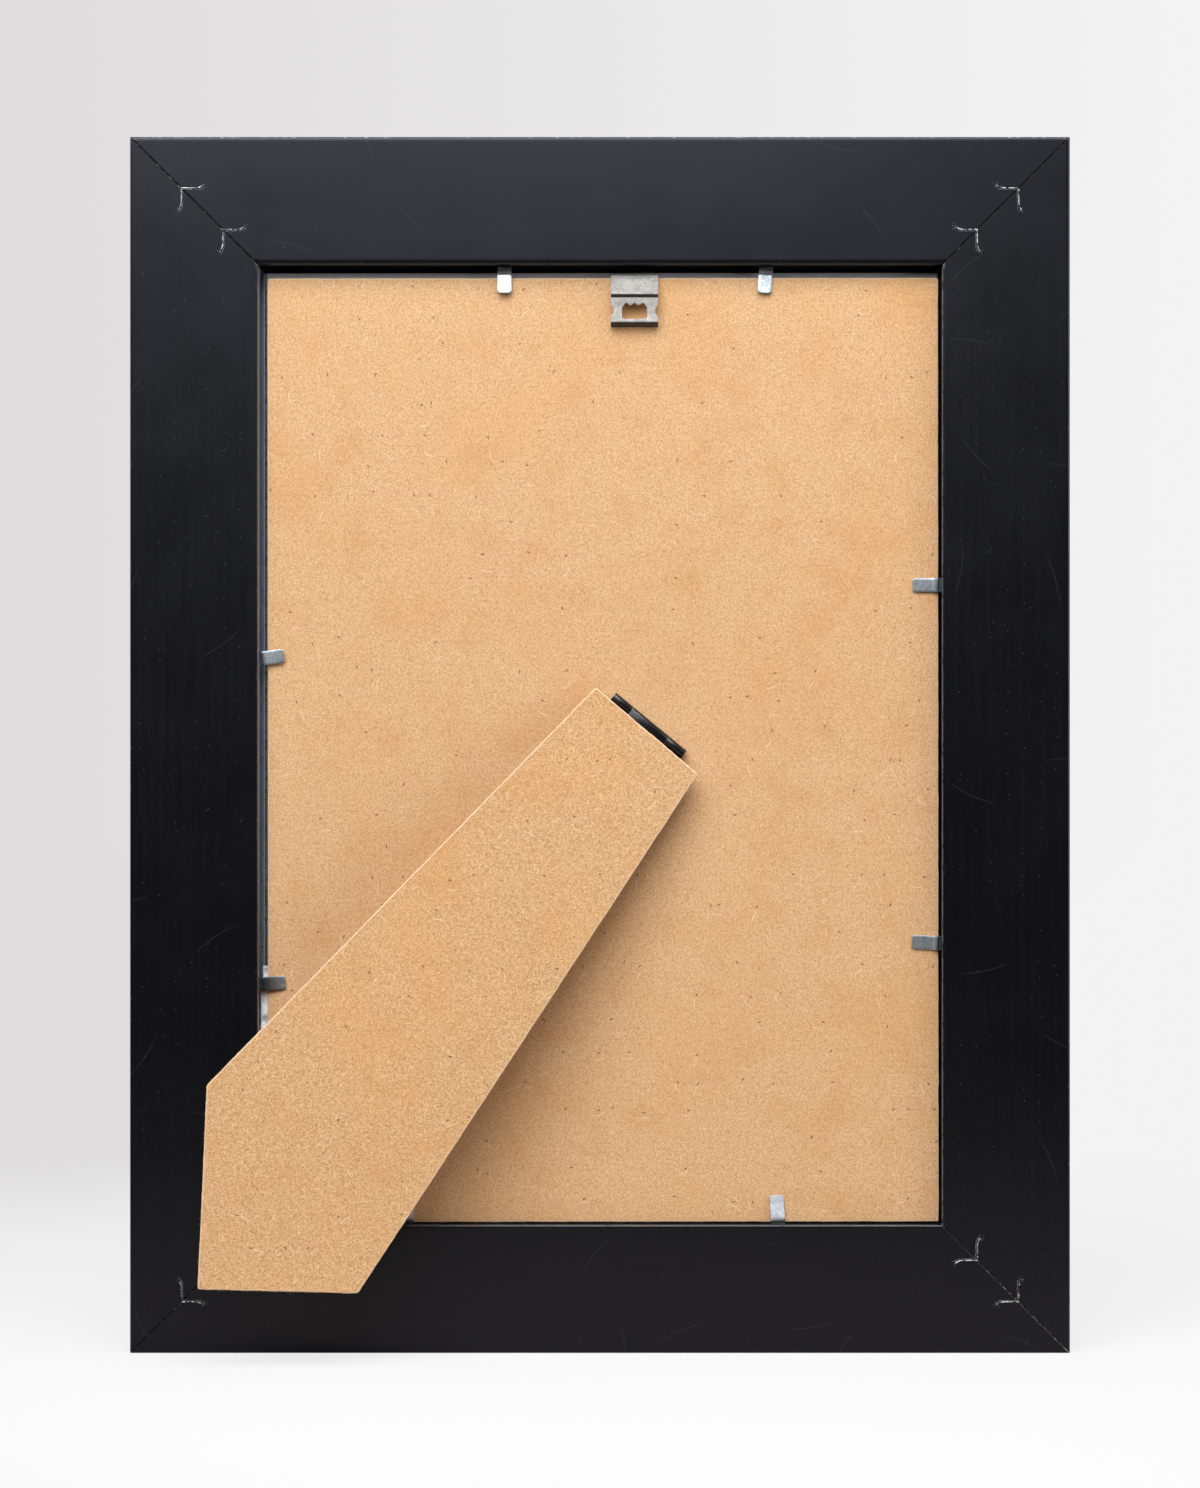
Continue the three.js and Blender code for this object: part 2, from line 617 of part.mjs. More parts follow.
// Paper strip folded over the gap between the board's left edge and the rebate wall
function paperShim() {
  const wallX = -OPENING_WIDTH / 2;
  const lean = (BOARD_Z - SHIM_TOP_Z) * Math.tan(BOARD_TILT);
  const edgeX = BOARD_X - BOARD_WIDTH / 2 / Math.cos(BOARD_TILT) + lean;
  const inset = PIECE_GAP + SHIM_PAPER / 2;
  const foldY = BOARD_BACK_Y + SHIM_SINK;
  const sheetY = SHEET_BACK_Y - inset;
  const edge = strip([
    [wallX + inset, sheetY],
    [wallX + inset, foldY],
    [edgeX - inset, foldY],
    [edgeX - inset, sheetY],
  ], SHIM_PAPER);
  return across(edge, SHIM_LENGTH).translate(0, 0, SHIM_TOP_Z - SHIM_LENGTH / 2);
}

const frame = new THREE.Group();
SIDES.forEach((side) => frame.add(frameSide(side)));
frame.add(
  piece('glass_pane', glassPane(), CLEAR_GLASS),
  piece('paper_shim', paperShim(), WHITE_PAPER),
  backAssembly(),
);

export default frame;
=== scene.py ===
# %% [markdown]
# # A picture frame, seen from its back
# The object is a mitred black moulding that holds glass, a sheet and a fibreboard back. The packed
# model already has every piece at its real size and place. This lesson dresses it: each step looks
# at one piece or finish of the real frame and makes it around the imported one. Everything is in
# metres, +Z is up, the back faces -Y, and the origin is the middle of the bottom edge.

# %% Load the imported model
import json
import math
import random

import bmesh
import bpy
from mathutils import Matrix, Vector, noise
from mathutils.geometry import convex_hull_2d


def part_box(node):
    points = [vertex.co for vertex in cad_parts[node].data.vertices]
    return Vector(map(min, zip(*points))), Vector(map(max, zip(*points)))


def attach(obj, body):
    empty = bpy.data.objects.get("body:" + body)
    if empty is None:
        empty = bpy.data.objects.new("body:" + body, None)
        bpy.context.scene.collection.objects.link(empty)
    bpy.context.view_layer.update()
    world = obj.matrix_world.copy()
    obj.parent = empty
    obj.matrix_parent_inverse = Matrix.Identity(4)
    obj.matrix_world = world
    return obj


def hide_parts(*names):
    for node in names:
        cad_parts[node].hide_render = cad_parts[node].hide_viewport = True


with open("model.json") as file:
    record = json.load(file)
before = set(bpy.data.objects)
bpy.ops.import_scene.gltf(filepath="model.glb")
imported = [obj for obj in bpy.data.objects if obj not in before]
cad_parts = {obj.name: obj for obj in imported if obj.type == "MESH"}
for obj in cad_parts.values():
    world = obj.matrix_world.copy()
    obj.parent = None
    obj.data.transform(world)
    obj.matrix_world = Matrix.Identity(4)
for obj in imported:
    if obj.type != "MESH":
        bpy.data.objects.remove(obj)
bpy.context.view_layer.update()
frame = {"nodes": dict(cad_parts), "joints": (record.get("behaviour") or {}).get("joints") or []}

MM = 0.001
joints = {joint["name"]: joint for joint in frame["joints"]}
print("nodes:", len(frame["nodes"]), "joints:", len(joints))

# %% [markdown]
# ## A few small helpers
# Colours are easiest to pick as sRGB hex values, the way a paint chart gives them, but Blender's
# sockets take linear light, so one function turns one into the other. Node trees are much the same
# lines over and over, so one function adds any node with its inputs, each a plain value or a link,
# and its settings. The others start a material, skin rings of vertices with faces, turn a finished
# BMesh into a mesh, and link a mesh into the scene as an object at the origin.

# %% Colours, nodes and pieces
def linear(code):
    """An sRGB hex colour as the linear values that a colour socket takes."""
    shares = [int(code[i:i + 2], 16) / 255 for i in (1, 3, 5)]
    return [s / 12.92 if s <= 0.04045 else ((s + 0.055) / 1.055) ** 2.4 for s in shares] + [1.0]


def add(tree, kind, inputs=None, **settings):
    """Adds one node. An input may be a value, a socket to link, or a node whose first output is linked."""
    node = tree.nodes.new(kind)
    for name, value in settings.items():
        setattr(node, name, value)
    for name, value in (inputs or {}).items():
        if isinstance(value, bpy.types.Node):
            value = value.outputs[0]
        if isinstance(value, bpy.types.NodeSocket):
            tree.links.new(value, node.inputs[name])
        else:
            node.inputs[name].default_value = value
    return node


def start_material(name):
    """A new material with an empty tree, as (material, tree)."""
    material = bpy.data.materials.new(name)
    material.use_nodes = True
    material.node_tree.nodes.clear()
    return material, material.node_tree


def skin(bm, rings, closed=True):
    """Faces between each ring of vertices and the next."""
    count = len(rings[0])
    for first, second in zip(rings, rings[1:]):
        for k in range(count if closed else count - 1):
            n = (k + 1) % count
            bm.faces.new((first[k], first[n], second[n], second[k]))


def meshed(bm, name, *materials):
    """A finished BMesh as a mesh of that name, with its materials."""
    mesh = bpy.data.meshes.new(name)
    bm.to_mesh(mesh)
    bm.free()
    for material in materials:
        mesh.materials.append(material)
    return mesh


def piece(name, mesh):
    """A mesh as an object of that name, at the origin."""
    mesh.name = name
    made = bpy.data.objects.new(name, mesh)
    bpy.context.scene.collection.objects.link(made)
    return made


print("black paint in linear light:", [round(x, 4) for x in linear("#141418")[:3]])

# %% [markdown]
# ## The camera
# The photograph looks straight at the back from about a metre away. A short lens from close by
# would show the inner walls of the rebate all round, and a long one none of them. The focal length
# is known in pixels of the 1200 by 1488 picture, and Blender's sensor width lies along the longer
# side, so the lens follows from those numbers.

# %% Camera
IMAGE_HEIGHT_PX = 1488
FOCAL_LENGTH_PX = 3214
SENSOR_WIDTH_MM = 36
CAMERA_PLACE = Vector((0, -1009, 189.6)) * MM

view_settings = bpy.context.scene.view_settings
view_settings.view_transform = "Standard"
lens = bpy.data.cameras.new("camera")
lens.sensor_width = SENSOR_WIDTH_MM
lens.lens = SENSOR_WIDTH_MM * FOCAL_LENGTH_PX / IMAGE_HEIGHT_PX
lens.clip_start = 0.05
camera = bpy.data.objects.new("camera", lens)
camera.location = CAMERA_PLACE
camera.rotation_euler = (math.radians(90), 0, 0)
bpy.context.scene.collection.objects.link(camera)
bpy.context.scene.camera = camera
print("lens:", round(lens.lens, 2), "mm")

# %% [markdown]
# ## Studio light
# A large soft box hangs high in front of the back, a little to the left, a second one right above
# the frame gives the soft shadows below its pieces, and a weak one on the right brightens that
# side. Satin black shows what it mirrors more than its own colour: the top rail catches the low
# edge of a soft box and looks grey, and the sides mirror a dark room and stay black. A faint world
# fills the shadows. Only the camera, glass, and metal that faces away from the room see the world
# as a pale backdrop, so that the background can be light while the light on the frame stays plain.

# %% Soft boxes
LIGHT_TARGET = Vector((0, 0, 220)) * MM


def softbox(name, place, size, watts):
    """A rectangular area lamp at a place in metres, turned to the frame."""
    data = bpy.data.lights.new(name, "AREA")
    data.shape = "RECTANGLE"
    data.size, data.size_y = size
    data.energy = watts
    lamp = bpy.data.objects.new(name, data)
    lamp.location = place
    lamp.rotation_euler = (LIGHT_TARGET - Vector(place)).to_track_quat("-Z", "Y").to_euler()
    lamp.visible_camera = False
    bpy.context.scene.collection.objects.link(lamp)


softbox("key_softbox", (-0.52, -1.2, 1.07), (1.9, 0.75), 17.5)
softbox("top_softbox", (0.0, -0.57, 1.12), (1.2, 0.5), 13.5)
softbox("right_softbox", (1.35, -0.45, 0.42), (0.9, 0.9), 10)
print("lamps:", [lamp.name for lamp in bpy.data.lights])

# %% World
WORLD_FILL = 0.31
ROOM_FILL = 0.005
FILL_COLOUR = "#d4d7e0"
BACKDROP_LEFT = "#dedcdd"
BACKDROP_RIGHT = "#f4f3f4"

# Spans of a direction's X or Y part, which is between -1 and 1
WORLD_SIDE = 0.17
BEHIND_SPAN = (0.0, 0.4)
ROOM_SPAN = (-0.95, -0.3)


def backdrop_colour(tree, toward, reach):
    """The backdrop's colour by the sideways part of a direction, from -reach to reach."""
    side = add(tree, "ShaderNodeMapRange",
               {"Value": toward.outputs["X"], "From Min": -reach, "From Max": reach})
    return add(tree, "ShaderNodeMix", {0: side, 6: linear(BACKDROP_LEFT), 7: linear(BACKDROP_RIGHT)},
               data_type="RGBA").outputs[2]


def shown_to(tree, mirror_share):
    """Which rays meet the pale look: the camera's and those in glass fully, mirrored ones by a share."""
    ray = add(tree, "ShaderNodeLightPath").outputs
    mirrored = add(tree, "ShaderNodeMath", {0: ray["Is Glossy Ray"], 1: mirror_share}, operation="MULTIPLY")
    seen = add(tree, "ShaderNodeMath", {0: ray["Is Camera Ray"], 1: ray["Is Transmission Ray"]},
               operation="MAXIMUM")
    return add(tree, "ShaderNodeMath", {0: seen, 1: mirrored}, operation="MAXIMUM")


world = bpy.data.worlds.new("studio")
bpy.context.scene.world = world
world.use_nodes = True
tree = world.node_tree
tree.nodes.clear()
toward = add(tree, "ShaderNodeSeparateXYZ", {0: add(tree, "ShaderNodeTexCoord").outputs["Generated"]})
behind = add(tree, "ShaderNodeMapRange",
             {"Value": toward.outputs["Y"], "From Min": BEHIND_SPAN[0], "From Max": BEHIND_SPAN[1]})
room = add(tree, "ShaderNodeMapRange",
           {"Value": toward.outputs["Y"], "From Min": ROOM_SPAN[0], "From Max": ROOM_SPAN[1],
            "To Min": ROOM_FILL, "To Max": WORLD_FILL}, interpolation_type="SMOOTHSTEP")
fill = add(tree, "ShaderNodeBackground", {"Color": linear(FILL_COLOUR), "Strength": room})
backdrop = add(tree, "ShaderNodeBackground",
               {"Color": backdrop_colour(tree, toward, WORLD_SIDE), "Strength": 1.0})
mixed = add(tree, "ShaderNodeMixShader", {0: shown_to(tree, behind), 1: fill, 2: backdrop})
add(tree, "ShaderNodeOutputWorld", {"Surface": mixed})
print("nodes of the world:", len(tree.nodes))

# %% [markdown]
# ## The floor
# A white paper floor runs from the frame's feet into the pale backdrop. Most of what the camera
# sees of it near the frame is its own white, and about a quarter is lit, so that the frame keeps a
# soft shadow. Further out it turns into the backdrop's colour, so that no horizon line shows. The
# light it throws back at the frame is kept low and a little warm, as white paper beside a brown
# board is, and in front of the frame lies the dark room.

# %% Floor
FLOOR_RADIUS = 6.0
FLOOR_SIDES = 96
FLOOR_WHITE = "#fefefe"
FLOOR_PAPER = "#d4d4d6"
FLOOR_BOUNCE = "#988f84"
ROOM_FLOOR = "#1c1c1e"
WHITE_REACH = 0.15
BACKDROP_REACH = 0.57
FLOOR_SIDE = 0.2
SHADED_SHARE = 0.25
FLOOR_MIRRORED = 0.08

paper_floor, tree = start_material("white_paper_floor")
spot = add(tree, "ShaderNodeTexCoord").outputs["Object"]
distance = add(tree, "ShaderNodeVectorMath", {0: spot}, operation="LENGTH").outputs["Value"]
far = add(tree, "ShaderNodeMapRange",
          {"Value": distance, "From Min": WHITE_REACH, "From Max": BACKDROP_REACH},
          interpolation_type="SMOOTHSTEP")
heading = add(tree, "ShaderNodeVectorMath", {0: spot}, operation="NORMALIZE")
toward = add(tree, "ShaderNodeSeparateXYZ", {0: heading})
pale = backdrop_colour(tree, toward, FLOOR_SIDE)
ground = add(tree, "ShaderNodeMix", {0: far, 6: linear(FLOOR_WHITE), 7: pale}, data_type="RGBA")
glow = add(tree, "ShaderNodeEmission", {"Color": ground.outputs[2], "Strength": 1.0})
lit = add(tree, "ShaderNodeBsdfDiffuse", {"Color": linear(FLOOR_PAPER)})
shaded = add(tree, "ShaderNodeMapRange", {"Value": far, "To Min": 1 - SHADED_SHARE, "To Max": 1.0})
near_view = add(tree, "ShaderNodeMixShader", {0: shaded, 1: lit, 2: glow})
dimmed = add(tree, "ShaderNodeMix", {0: far, 6: linear(FLOOR_BOUNCE), 7: linear(ROOM_FLOOR)},
             data_type="RGBA")
bounce = add(tree, "ShaderNodeBsdfDiffuse", {"Color": dimmed.outputs[2]})
near = add(tree, "ShaderNodeMapRange", {"Value": far, "To Min": FLOOR_MIRRORED, "To Max": 0.0})
surface = add(tree, "ShaderNodeMixShader", {0: shown_to(tree, near), 1: bounce, 2: near_view})
add(tree, "ShaderNodeOutputMaterial", {"Surface": surface})

bm = bmesh.new()
bmesh.ops.create_circle(bm, cap_ends=True, segments=FLOOR_SIDES, radius=FLOOR_RADIUS)
floor = piece("floor", meshed(bm, "floor", paper_floor))
print("floor radius:", FLOOR_RADIUS, "m")

# %% [markdown]
# ## Random strokes, a pattern that several finishes share
# Fibres and bark in the board, hair scratches and dust on the paint: all of them are short strokes
# that lie at random. A Voronoi texture cuts the surface into cells and gives each cell a point and
# a random colour. The place measured from that point, turned by a random angle, says whether a
# spot lies on the cell's stroke. This is finer than any noise threshold, and the length, width and
# bow of the stroke are sizes in millimetres. Two more helpers tint a colour where a mask says so,
# and end a material.

# %% Stroke pattern
FIRM_WIDTH = 0.2
FIRM_LENGTH = 0.3


def strokes(tree, plan, cell, length, width, bow, share):
    """A mask of short bowed strokes on a flat plan in metres. Sizes are in mm, share is of the cells."""
    cells = add(tree, "ShaderNodeTexVoronoi", {"Vector": plan, "Scale": 1 / (cell * MM)},
                voronoi_dimensions="2D")
    dice = add(tree, "ShaderNodeSeparateColor", {0: cells.outputs["Color"]})
    offset = add(tree, "ShaderNodeVectorMath", {0: plan, 1: cells.outputs["Position"]}, operation="SUBTRACT")
    angle = add(tree, "ShaderNodeMath", {0: dice.outputs[0], 1: math.tau}, operation="MULTIPLY")
    turned = add(tree, "ShaderNodeVectorRotate", {"Vector": offset, "Angle": angle}, rotation_type="Z_AXIS")
    along = add(tree, "ShaderNodeSeparateXYZ", {0: turned})
    squared = add(tree, "ShaderNodeMath", {0: along.outputs["X"], 1: 2.0}, operation="POWER")
    bend = add(tree, "ShaderNodeMath", {0: squared, 1: -4 * bow / (length ** 2 * MM), 2: along.outputs["Y"]},
               operation="MULTIPLY_ADD")
    drawn = add(tree, "ShaderNodeMath", {0: dice.outputs[1], 1: share}, operation="LESS_THAN")
    for part, size, firm in ((bend, width, FIRM_WIDTH), (along.outputs["X"], length, FIRM_LENGTH)):
        off = add(tree, "ShaderNodeMath", {0: part}, operation="ABSOLUTE")
        within = add(tree, "ShaderNodeMapRange",
                     {"Value": off, "From Min": firm * size * MM, "From Max": 0.5 * size * MM,
                      "To Min": 1.0, "To Max": 0.0})
        drawn = add(tree, "ShaderNodeMath", {0: drawn, 1: within}, operation="MULTIPLY")
    return drawn


def tinted(tree, base, tint, amount, share):
    """The colour base turned towards a tint where amount is high, by at most share."""
    factor = add(tree, "ShaderNodeMath", {0: amount, 1: share}, operation="MULTIPLY")
    return add(tree, "ShaderNodeMix", {0: factor, 6: base, 7: linear(tint)}, data_type="RGBA").outputs[2]


def finish_material(tree, inputs):
    """Ends a material with one shader that has these inputs."""
    shader = add(tree, "ShaderNodeBsdfPrincipled", inputs)
    add(tree, "ShaderNodeOutputMaterial", {"Surface": shader})


print("materials so far:", [material.name for material in bpy.data.materials])

# %% [markdown]
# ## Fibreboard
# The back and the leg are bare medium-density fibreboard: fine wood fibre pressed with glue, matt,
# the colour of a biscuit. Close up it is a felt of pale and brown fibres with darker bits of bark.
# It could be one noise texture, but that looks like sand. Here a felt, soft clouds of colour, pale
# and brown threads, hairs, flecks and bark are laid over each other. Real fibres are a few
# hundredths of a millimetre thick, thinner than a pixel, so the felt and the threads are drawn
# some five times as coarse, which is the finest that shows.

# %% Fibreboard material
FELT_MM = 0.5
CLOUD_MM = 13
PATCH_MM = 38


def fibreboard(name, dark, light):
    """Bare fibreboard, sanded flat: matt and felted, with pale fibres on its sawn arrises."""
    material, tree = start_material(name)
    spot = add(tree, "ShaderNodeTexCoord").outputs["Object"]
    axes = add(tree, "ShaderNodeSeparateXYZ", {0: spot})
    plan = add(tree, "ShaderNodeCombineXYZ", {0: axes.outputs["X"], 1: axes.outputs["Z"]}).outputs[0]
    felt = add(tree, "ShaderNodeTexNoise", {"Vector": spot, "Scale": 1 / (FELT_MM * MM), "Detail": 4.0,
                                            "Roughness": 0.65, "Distortion": 0.6})
    grain = add(tree, "ShaderNodeMapRange", {"Value": felt, "From Min": 0.34, "From Max": 0.66})
    colour = add(tree, "ShaderNodeMix", {0: grain, 6: linear(dark), 7: linear(light)},
                 data_type="RGBA").outputs[2]
    for size, detail, tint in ((CLOUD_MM, 3.0, "#c58a50"), (PATCH_MM, 2.0, "#d29a5c")):
        cloud = add(tree, "ShaderNodeTexNoise", {"Vector": spot, "Scale": 1 / (size * MM), "Detail": detail})
        clouded = add(tree, "ShaderNodeMapRange", {"Value": cloud, "From Min": 0.5, "From Max": 0.75})
        colour = tinted(tree, colour, tint, clouded, 0.3)
    threads = strokes(tree, plan, cell=1.3, length=1.6, width=0.24, bow=0.12, share=0.5)
    colour = tinted(tree, colour, "#fbe0ba", threads, 0.16)
    strands = strokes(tree, plan, cell=1.7, length=1.4, width=0.26, bow=0.12, share=0.4)
    colour = tinted(tree, colour, "#8a5a30", strands, 0.28)
    hairs = strokes(tree, plan, cell=9, length=4.2, width=0.3, bow=0.5, share=0.18)
    colour = tinted(tree, colour, "#fdeed6", hairs, 0.42)
    flecks = strokes(tree, plan, cell=3.6, length=0.6, width=0.42, bow=0.05, share=0.16)
    colour = tinted(tree, colour, "#7a5230", flecks, 0.55)
    bark = strokes(tree, plan, cell=9.2, length=1.1, width=0.55, bow=0.05, share=0.26)
    colour = tinted(tree, colour, "#3f2c1e", bark, 0.8)
    arris = add(tree, "ShaderNodeAttribute", attribute_name="arris").outputs["Fac"]
    colour = tinted(tree, colour, "#fae4c4", arris, 0.45)
    raised = add(tree, "ShaderNodeMath", {0: felt, 1: hairs}, operation="ADD")
    bump = add(tree, "ShaderNodeBump", {"Strength": 0.35, "Distance": 0.1 * MM, "Height": raised})
    finish_material(tree, {"Base Color": colour, "Roughness": 0.88, "IOR": 1.47,
                           "Specular IOR Level": 0.3, "Normal": bump})
    return material


BACK_BOARD = fibreboard("bare_fibreboard", "#be8e61", "#e6c094")
# The leg is the same board as the back, given a darker copy as painted shade, since it leans up towards the
# lamps
LEG_BOARD_PAINTED_SHADE = fibreboard("fibreboard_with_painted_shade", "#a97b4d", "#e4bd90")
print("materials:", BACK_BOARD.name, LEG_BOARD_PAINTED_SHADE.name)

# %% [markdown]
# ## Black moulding paint
# The moulding is wrapped or sprayed satin black and has been handled: faint marks along the
# length from the machine, hair scratches, specks of dust, and bare wood or filler along the edges
# that get knocked. The pattern has to run along each rail and round its section, so it reads the
# rail's own UV map, in metres, and two attributes that the rail's mesh carries: how worn each
# arris is, and the colour that shows there. On the left rail's rebate wall the same two attributes
# carry a painted reflection, a grey where the glossy wall mirrors the gap. Real scratches and dust
# are finer than a pixel, so they are drawn a third of a millimetre wide, and faint.

# %% Black paint material
STREAK_LENGTH_MM = 40
STREAK_WIDTH_MM = 1.7
SMUDGE_MM = 26
CHIP_MM = 1.6


def black_paint():
    """Satin black paint on moulding: dark, softly mirroring, with worn arrises."""
    material, tree = start_material("satin_black_paint")
    plan = add(tree, "ShaderNodeUVMap", uv_map="along_rail").outputs[0]
    lengthwise = (1 / (STREAK_LENGTH_MM * MM), 1 / (STREAK_WIDTH_MM * MM), 1.0)
    stretched = add(tree, "ShaderNodeMapping", {"Vector": plan, "Scale": lengthwise})
    streak = add(tree, "ShaderNodeTexNoise", {"Vector": stretched, "Scale": 1.0, "Detail": 4.0})
    streaked = add(tree, "ShaderNodeMapRange", {"Value": streak, "From Min": 0.35, "From Max": 0.75})
    colour = add(tree, "ShaderNodeMix", {0: streaked, 6: linear("#07070a"), 7: linear("#0b0b10")},
                 data_type="RGBA").outputs[2]
    scratches = strokes(tree, plan, cell=26, length=17, width=0.3, bow=1.0, share=0.35)
    colour = tinted(tree, colour, "#6a6a74", scratches, 0.12)
    dust = strokes(tree, plan, cell=5, length=0.34, width=0.3, bow=0.0, share=0.2)
    colour = tinted(tree, colour, "#b9b9be", dust, 0.16)
    crumble = add(tree, "ShaderNodeTexNoise", {"Vector": plan, "Scale": 1 / (CHIP_MM * MM), "Detail": 3.0})
    chip = add(tree, "ShaderNodeMapRange", {"Value": crumble, "From Min": 0.3, "From Max": 0.7})
    # These two attributes carry the worn arrises, and on the left rebate wall a painted reflection
    wear_and_sheen = add(tree, "ShaderNodeAttribute", attribute_name="wear_and_sheen").outputs["Fac"]
    bare_and_sheen_tint = add(tree, "ShaderNodeAttribute", attribute_name="bare_and_sheen_tint").outputs["Color"]
    ragged = add(tree, "ShaderNodeMath", {0: wear_and_sheen, 1: chip}, operation="ADD")
    worn = add(tree, "ShaderNodeMapRange", {"Value": ragged, "From Min": 0.9, "From Max": 1.15})
    colour = add(tree, "ShaderNodeMix", {0: worn, 6: colour, 7: bare_and_sheen_tint}, data_type="RGBA").outputs[2]
    smudge = add(tree, "ShaderNodeTexNoise", {"Vector": plan, "Scale": 1 / (SMUDGE_MM * MM), "Detail": 4.0})
    rough = add(tree, "ShaderNodeMapRange",
                {"Value": smudge, "From Min": 0.3, "From Max": 0.7, "To Min": 0.27, "To Max": 0.31})
    brushed = add(tree, "ShaderNodeMath", {0: streaked, 1: 0.01, 2: rough}, operation="MULTIPLY_ADD")
    rougher = add(tree, "ShaderNodeMath", {0: worn, 1: 0.35, 2: brushed}, operation="MULTIPLY_ADD")
    bump = add(tree, "ShaderNodeBump", {"Strength": 0.03, "Distance": 0.04 * MM, "Height": streak})
    finish_material(tree, {"Base Color": colour, "Roughness": rougher, "IOR": 1.5,
                           "Specular Tint": linear("#e9ecff"), "Normal": bump})
    return material


BLACK_PAINT = black_paint()
print("material:", BLACK_PAINT.name)

# %% [markdown]
# ## The metals
# The points and the hanger are zinc-plated sheet, a little blue, mottled where the zinc crystals
# differ. A dull patina hides the hanger's metal. The lowest points take a duller, less metallic
# copy of the zinc whose pale colour is a painted highlight, and on points and hanger alike an
# attribute of the mesh darkens the zinc as painted shade. The edges of the V-nails are bare steel.
# The hinge is stoved black and glossy. Bare metals have no colour of their own beyond what they
# mirror, and their roughness does most of the work. A finish that is no more than two colours
# mottled by one noise comes from one function, which paper and torn paint use too.

# %% Zinc plate
SPANGLE_MM = 1.4
MOTTLE_MM = 0.5
ROUGH_SPREAD = 0.06


def zinc_plate(name, dark, light, metallic, roughness):
    """Zinc-plated sheet, mottled by its crystals, as bright or as dull as its patina is thick, and darkened
    by painted shade where the mesh marks it.
    """
    material, tree = start_material(name)
    spot = add(tree, "ShaderNodeTexCoord").outputs["Object"]
    spangle = add(tree, "ShaderNodeTexVoronoi", {"Vector": spot, "Scale": 1 / (SPANGLE_MM * MM)})
    dice = add(tree, "ShaderNodeSeparateColor", {0: spangle.outputs["Color"]})
    mottle = add(tree, "ShaderNodeTexNoise", {"Vector": spot, "Scale": 1 / (MOTTLE_MM * MM), "Detail": 4.0})
    blotch = add(tree, "ShaderNodeMath", {0: dice.outputs[0], 1: 0.25, 2: mottle}, operation="MULTIPLY_ADD")
    shade = add(tree, "ShaderNodeMapRange", {"Value": blotch, "From Min": 0.4, "From Max": 0.85})
    colour = add(tree, "ShaderNodeMix", {0: shade, 6: linear(dark), 7: linear(light)},
                 data_type="RGBA").outputs[2]
    # Painted shade: where the mesh marks it, the zinc is darkened almost to black, for shade over a point's
    # root and under the hanger's bends
    painted_shade = add(tree, "ShaderNodeAttribute", attribute_name="painted_shade").outputs["Fac"]
    colour = tinted(tree, colour, "#14171c", painted_shade, 0.9)
    rough = add(tree, "ShaderNodeMapRange",
                {"Value": blotch, "From Min": 0.3, "From Max": 1.0,
                 "To Min": roughness + ROUGH_SPREAD, "To Max": roughness - ROUGH_SPREAD})
    bump = add(tree, "ShaderNodeBump", {"Strength": 0.3, "Distance": 0.03 * MM, "Height": mottle})
    finish_material(tree, {"Base Color": colour, "Metallic": metallic, "Roughness": rough, "Normal": bump})
    return material


# Most points are bright; the lowest take a duller copy painted pale as a highlight, and a patina hides the
# hanger's metal
ZINC = zinc_plate("bright_zinc_strip", "#9aa6ae", "#d3dadf", 1.0, 0.42)
DULL_ZINC_PAINTED_HIGHLIGHT = zinc_plate("dull_zinc_with_painted_highlight", "#adb1bb", "#d6dae3", 0.3, 0.55)
PATINA = zinc_plate("dull_zinc_patina", "#a09d98", "#c8c5c0", 0.35, 0.6)
print("materials:", ZINC.name, DULL_ZINC_PAINTED_HIGHLIGHT.name, PATINA.name)

# %% Nail steel and lacquer
def mottled(name, grain_mm, detail, dark, light, inputs, spread=(0.0, 1.0), bump=None):
    """Two colours mottled by one noise. Bump is a strength and a height in mm."""
    material, tree = start_material(name)
    spot = add(tree, "ShaderNodeTexCoord").outputs["Object"]
    cloud = add(tree, "ShaderNodeTexNoise", {"Vector": spot, "Scale": 1 / (grain_mm * MM), "Detail": detail})
    share = add(tree, "ShaderNodeMapRange", {"Value": cloud, "From Min": spread[0], "From Max": spread[1]})
    colour = add(tree, "ShaderNodeMix", {0: share, 6: linear(dark), 7: linear(light)}, data_type="RGBA")
    inputs = {"Base Color": colour.outputs[2], **inputs}
    if bump:
        strength, height = bump
        inputs["Normal"] = add(tree, "ShaderNodeBump",
                               {"Strength": strength, "Distance": height * MM, "Height": cloud})
    finish_material(tree, inputs)
    return material


# The cut edge of a steel V-nail: bright, and dark with tarnish in places
NAIL_STEEL = mottled("cut_nail_steel", 1.1, 3.0, "#c9ccce", "#303338",
                     {"Metallic": 1.0, "Roughness": 0.5}, spread=(0.42, 0.58))

# Stoved lacquer on steel: deep black, glossy, faintly uneven
LACQUER = mottled("stoved_black_lacquer", 1.2, 2.0, "#060608", "#111114",
                  {"Roughness": 0.26, "IOR": 1.52}, bump=(0.6, 0.08))
print("materials:", NAIL_STEEL.name, LACQUER.name)

# %% [markdown]
# ## Paper, torn paint and glass
# The front of the sheet behind the glass and the folded strip in the gap are plain white paper,
# which is matt and very slightly fibrous. The sheet's back and edges are that paper painted grey,
# as painted shade on the strip of it that shows deep in the gap. Where the V-nails went in, the
# paint has lifted in pale crumbs. The pane is ordinary float glass, clear with a little green, and
# matt where its edges were ground.

# %% Paper, torn paint and glass materials
SMEAR_MM = 30
GLASS_IOR = 1.52


